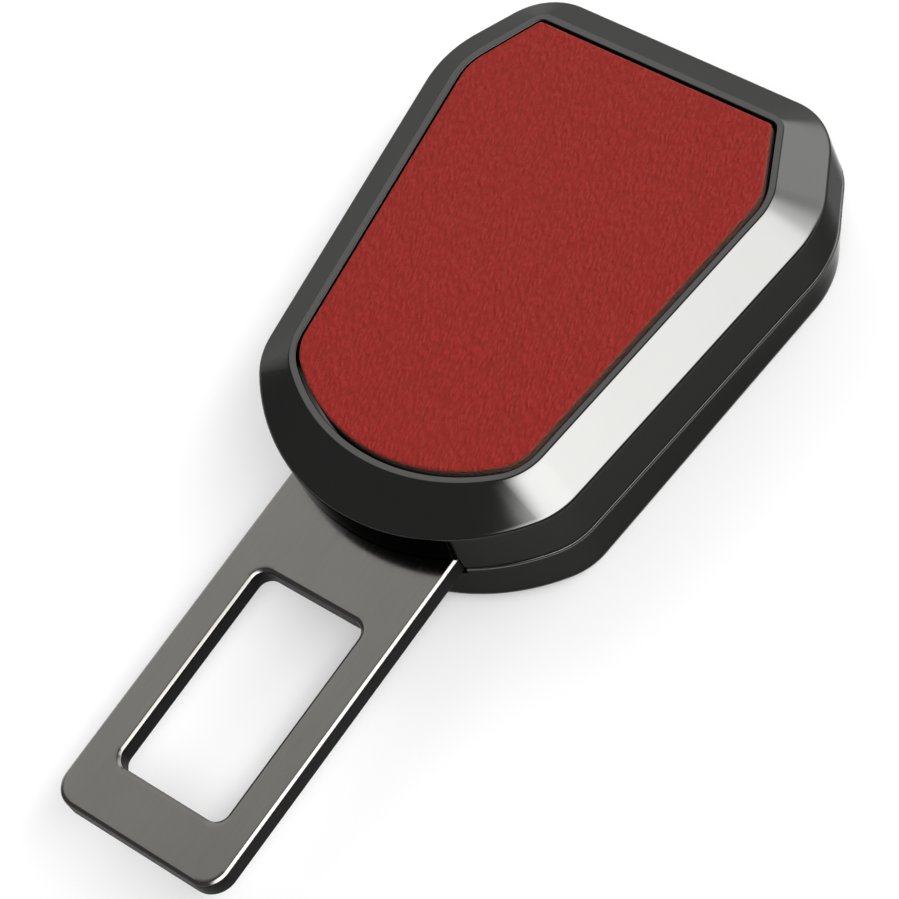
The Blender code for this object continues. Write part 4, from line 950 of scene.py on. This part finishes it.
# %% A tree that stands a screw on each point
stander = bpy.data.node_groups.new("stand_a_screw_on_each_point", "GeometryNodeTree")
for name, kind in (("Geometry", "Geometry"), ("Screw", "Object"), ("Finish", "Material")):
    stander.interface.new_socket(name, in_out="INPUT", socket_type="NodeSocket" + kind)
stander.interface.new_socket("Geometry", in_out="OUTPUT", socket_type="NodeSocketGeometry")
given = add(stander, "NodeGroupInput").outputs
model = add(stander, "GeometryNodeObjectInfo", {"Object": given["Screw"]})
inputs = {"Points": given["Geometry"], "Instance": model.outputs["Geometry"]}
standing = add(stander, "GeometryNodeInstanceOnPoints", inputs)
realised = add(stander, "GeometryNodeRealizeInstances", {"Geometry": standing.outputs["Instances"]})
inputs = {"Geometry": realised.outputs["Geometry"], "Material": given["Finish"]}
painted = add(stander, "GeometryNodeSetMaterial", inputs)
add(stander, "NodeGroupOutput", {"Geometry": painted.outputs["Geometry"]})
print("a set of screws takes", len(stander.nodes), "nodes")

# %% The four case screws
values = {"Screw": screw, "Finish": screw_steel}
screws = grow_mesh("case_screws", stander, values, screw_places)
bpy.data.objects.remove(screw)
dress(screws, "housing", screw_steel, "spring_steel", *SCREWS)

# %% [markdown]
# The frame, its rivets, the latch, its pin and the ejector have the right shape already.
# They keep their meshes and get their finishes.

# %% Pieces that stay as they are
FINISHES = {
    "buckle_frame": zinc_steel, "rivet_left": zinc_steel, "rivet_right": zinc_steel,
    "latch_lever": zinc_steel, "latch_pin": spring_steel, "ejector": white_acetal,
}
for name, finish in FINISHES.items():
    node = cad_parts[name]
    node.data.materials.clear()
    node.data.materials.append(finish)
print("kept", len(FINISHES), "pieces")

# %% [markdown]
# The studio is a pale table under a dark tent with four soft windows, since dark metal is
# nothing but what it mirrors. A long window on the right puts the white band on the bevel. A
# weaker one beside it and a wide low one behind it carry the band round the far corner, and a
# wide dim one on the left gives the lip and the tongue their grey. The windows are drawn in
# the sky, where their edges can be soft.

# %% The table
TABLE_GLOW = 0.32
table_paint, tree, place = start_material("pale_table_paint")
cloud = add(tree, "ShaderNodeTexNoise", {"Vector": place, "Scale": per_metre(40.0)})
inputs = {"Factor": cloud, "A": linear("#D2D2D2"), "B": linear("#D4D4D4")}
tone = add(tree, "ShaderNodeMix", inputs, data_type="RGBA")
rays = add(tree, "ShaderNodeLightPath").outputs
inputs = {0: rays["Is Camera Ray"], 1: rays["Is Glossy Ray"]}
seen = add(tree, "ShaderNodeMath", inputs, operation="MAXIMUM")
seen = add(tree, "ShaderNodeMath", {0: seen, 1: rays["Is Transmission Ray"]}, operation="MAXIMUM")
glow = add(tree, "ShaderNodeMath", {0: seen, 1: TABLE_GLOW}, operation="MULTIPLY")
inputs = {"Base Color": tone, "Roughness": 0.9, "Specular IOR Level": 0.0}
inputs |= {"Emission Color": (1.0, 1.0, 1.0, 1.0), "Emission Strength": glow}
finish_material(table_paint, inputs)
mesh = bmesh.new()
bmesh.ops.create_circle(mesh, cap_ends=True, segments=96, radius=4.0)
bmesh.ops.translate(mesh, verts=mesh.verts, vec=(0.0, 0.0, -0.05 * MM))
table = new_object("table", mesh)
table.data.materials.append(table_paint)

# %% The sky over the table
world = bpy.data.worlds.new("studio")
bpy.context.scene.world = world
world.use_nodes = True
tree = world.node_tree
tree.nodes.clear()
toward = add(tree, "ShaderNodeTexCoord").outputs["Generated"]
up = add(tree, "ShaderNodeSeparateXYZ", {"Vector": toward}).outputs["Z"]
HORIZON_LIGHT, TENT_LIGHT = 0.9, 0.2
inputs = {"Value": up, "From Max": 0.1, "To Min": HORIZON_LIGHT, "To Max": TENT_LIGHT}
sky_light = add(tree, "ShaderNodeMapRange", inputs, interpolation_type="SMOOTHSTEP")
print("the tent goes from", HORIZON_LIGHT, "at the horizon to", TENT_LIGHT, "overhead")


# %% A soft window in the sky
def window_light(azimuth, elevation, half_width, half_height, soft_side, soft_top, brightness):
    """Adds a window to the sky: its middle, half its size and its soft borders, in degrees."""
    a, e = math.radians(azimuth), math.radians(elevation)
    middle = (math.cos(e) * math.cos(a), math.cos(e) * math.sin(a), math.sin(e))
    side = (-math.sin(a), math.cos(a), 0.0)
    top = (-math.sin(e) * math.cos(a), -math.sin(e) * math.sin(a), math.cos(e))
    ahead = add(tree, "ShaderNodeVectorMath", {0: toward, 1: middle}, operation="DOT_PRODUCT")
    share = add(tree, "ShaderNodeMath", {0: ahead, 1: 0.0}, operation="GREATER_THAN")
    for axis, half, soft in ((side, half_width, soft_side), (top, half_height, soft_top)):
        across = add(tree, "ShaderNodeVectorMath", {0: toward, 1: axis}, operation="DOT_PRODUCT")
        slope = add(tree, "ShaderNodeMath", {0: across, 1: ahead}, operation="DIVIDE")
        away = add(tree, "ShaderNodeMath", {0: slope}, operation="ABSOLUTE")
        inner, outer = (math.tan(math.radians(half + sign * soft)) for sign in (-1, 1))
        inputs = {"Value": away, "From Min": inner, "From Max": outer, "To Min": 1.0, "To Max": 0.0}
        within = add(tree, "ShaderNodeMapRange", inputs, interpolation_type="SMOOTHSTEP")
        share = add(tree, "ShaderNodeMath", {0: share, 1: within}, operation="MULTIPLY")
    print("window at", azimuth, elevation, "as bright as", brightness)
    inputs = {0: share, 1: brightness, 2: sky_light}
    return add(tree, "ShaderNodeMath", inputs, operation="MULTIPLY_ADD")


# %% The studio's windows
sky_light = window_light(-14.0, 55.5, 25.0, 6.5, 14.0, 5.5, 10.8)
sky_light = window_light(39.0, 46.0, 10.0, 7.0, 7.0, 7.0, 5.1)
sky_light = window_light(74.0, 24.0, 30.0, 18.0, 9.0, 9.0, 2.3)
sky_light = window_light(145.0, 32.0, 26.0, 32.0, 9.0, 9.0, 1.05)
backdrop = add(tree, "ShaderNodeBackground", {"Color": (1.0, 1.0, 1.0, 1.0), "Strength": sky_light})
add(tree, "ShaderNodeOutputWorld", {"Surface": backdrop})
bpy.context.scene.view_settings.view_transform = "Standard"
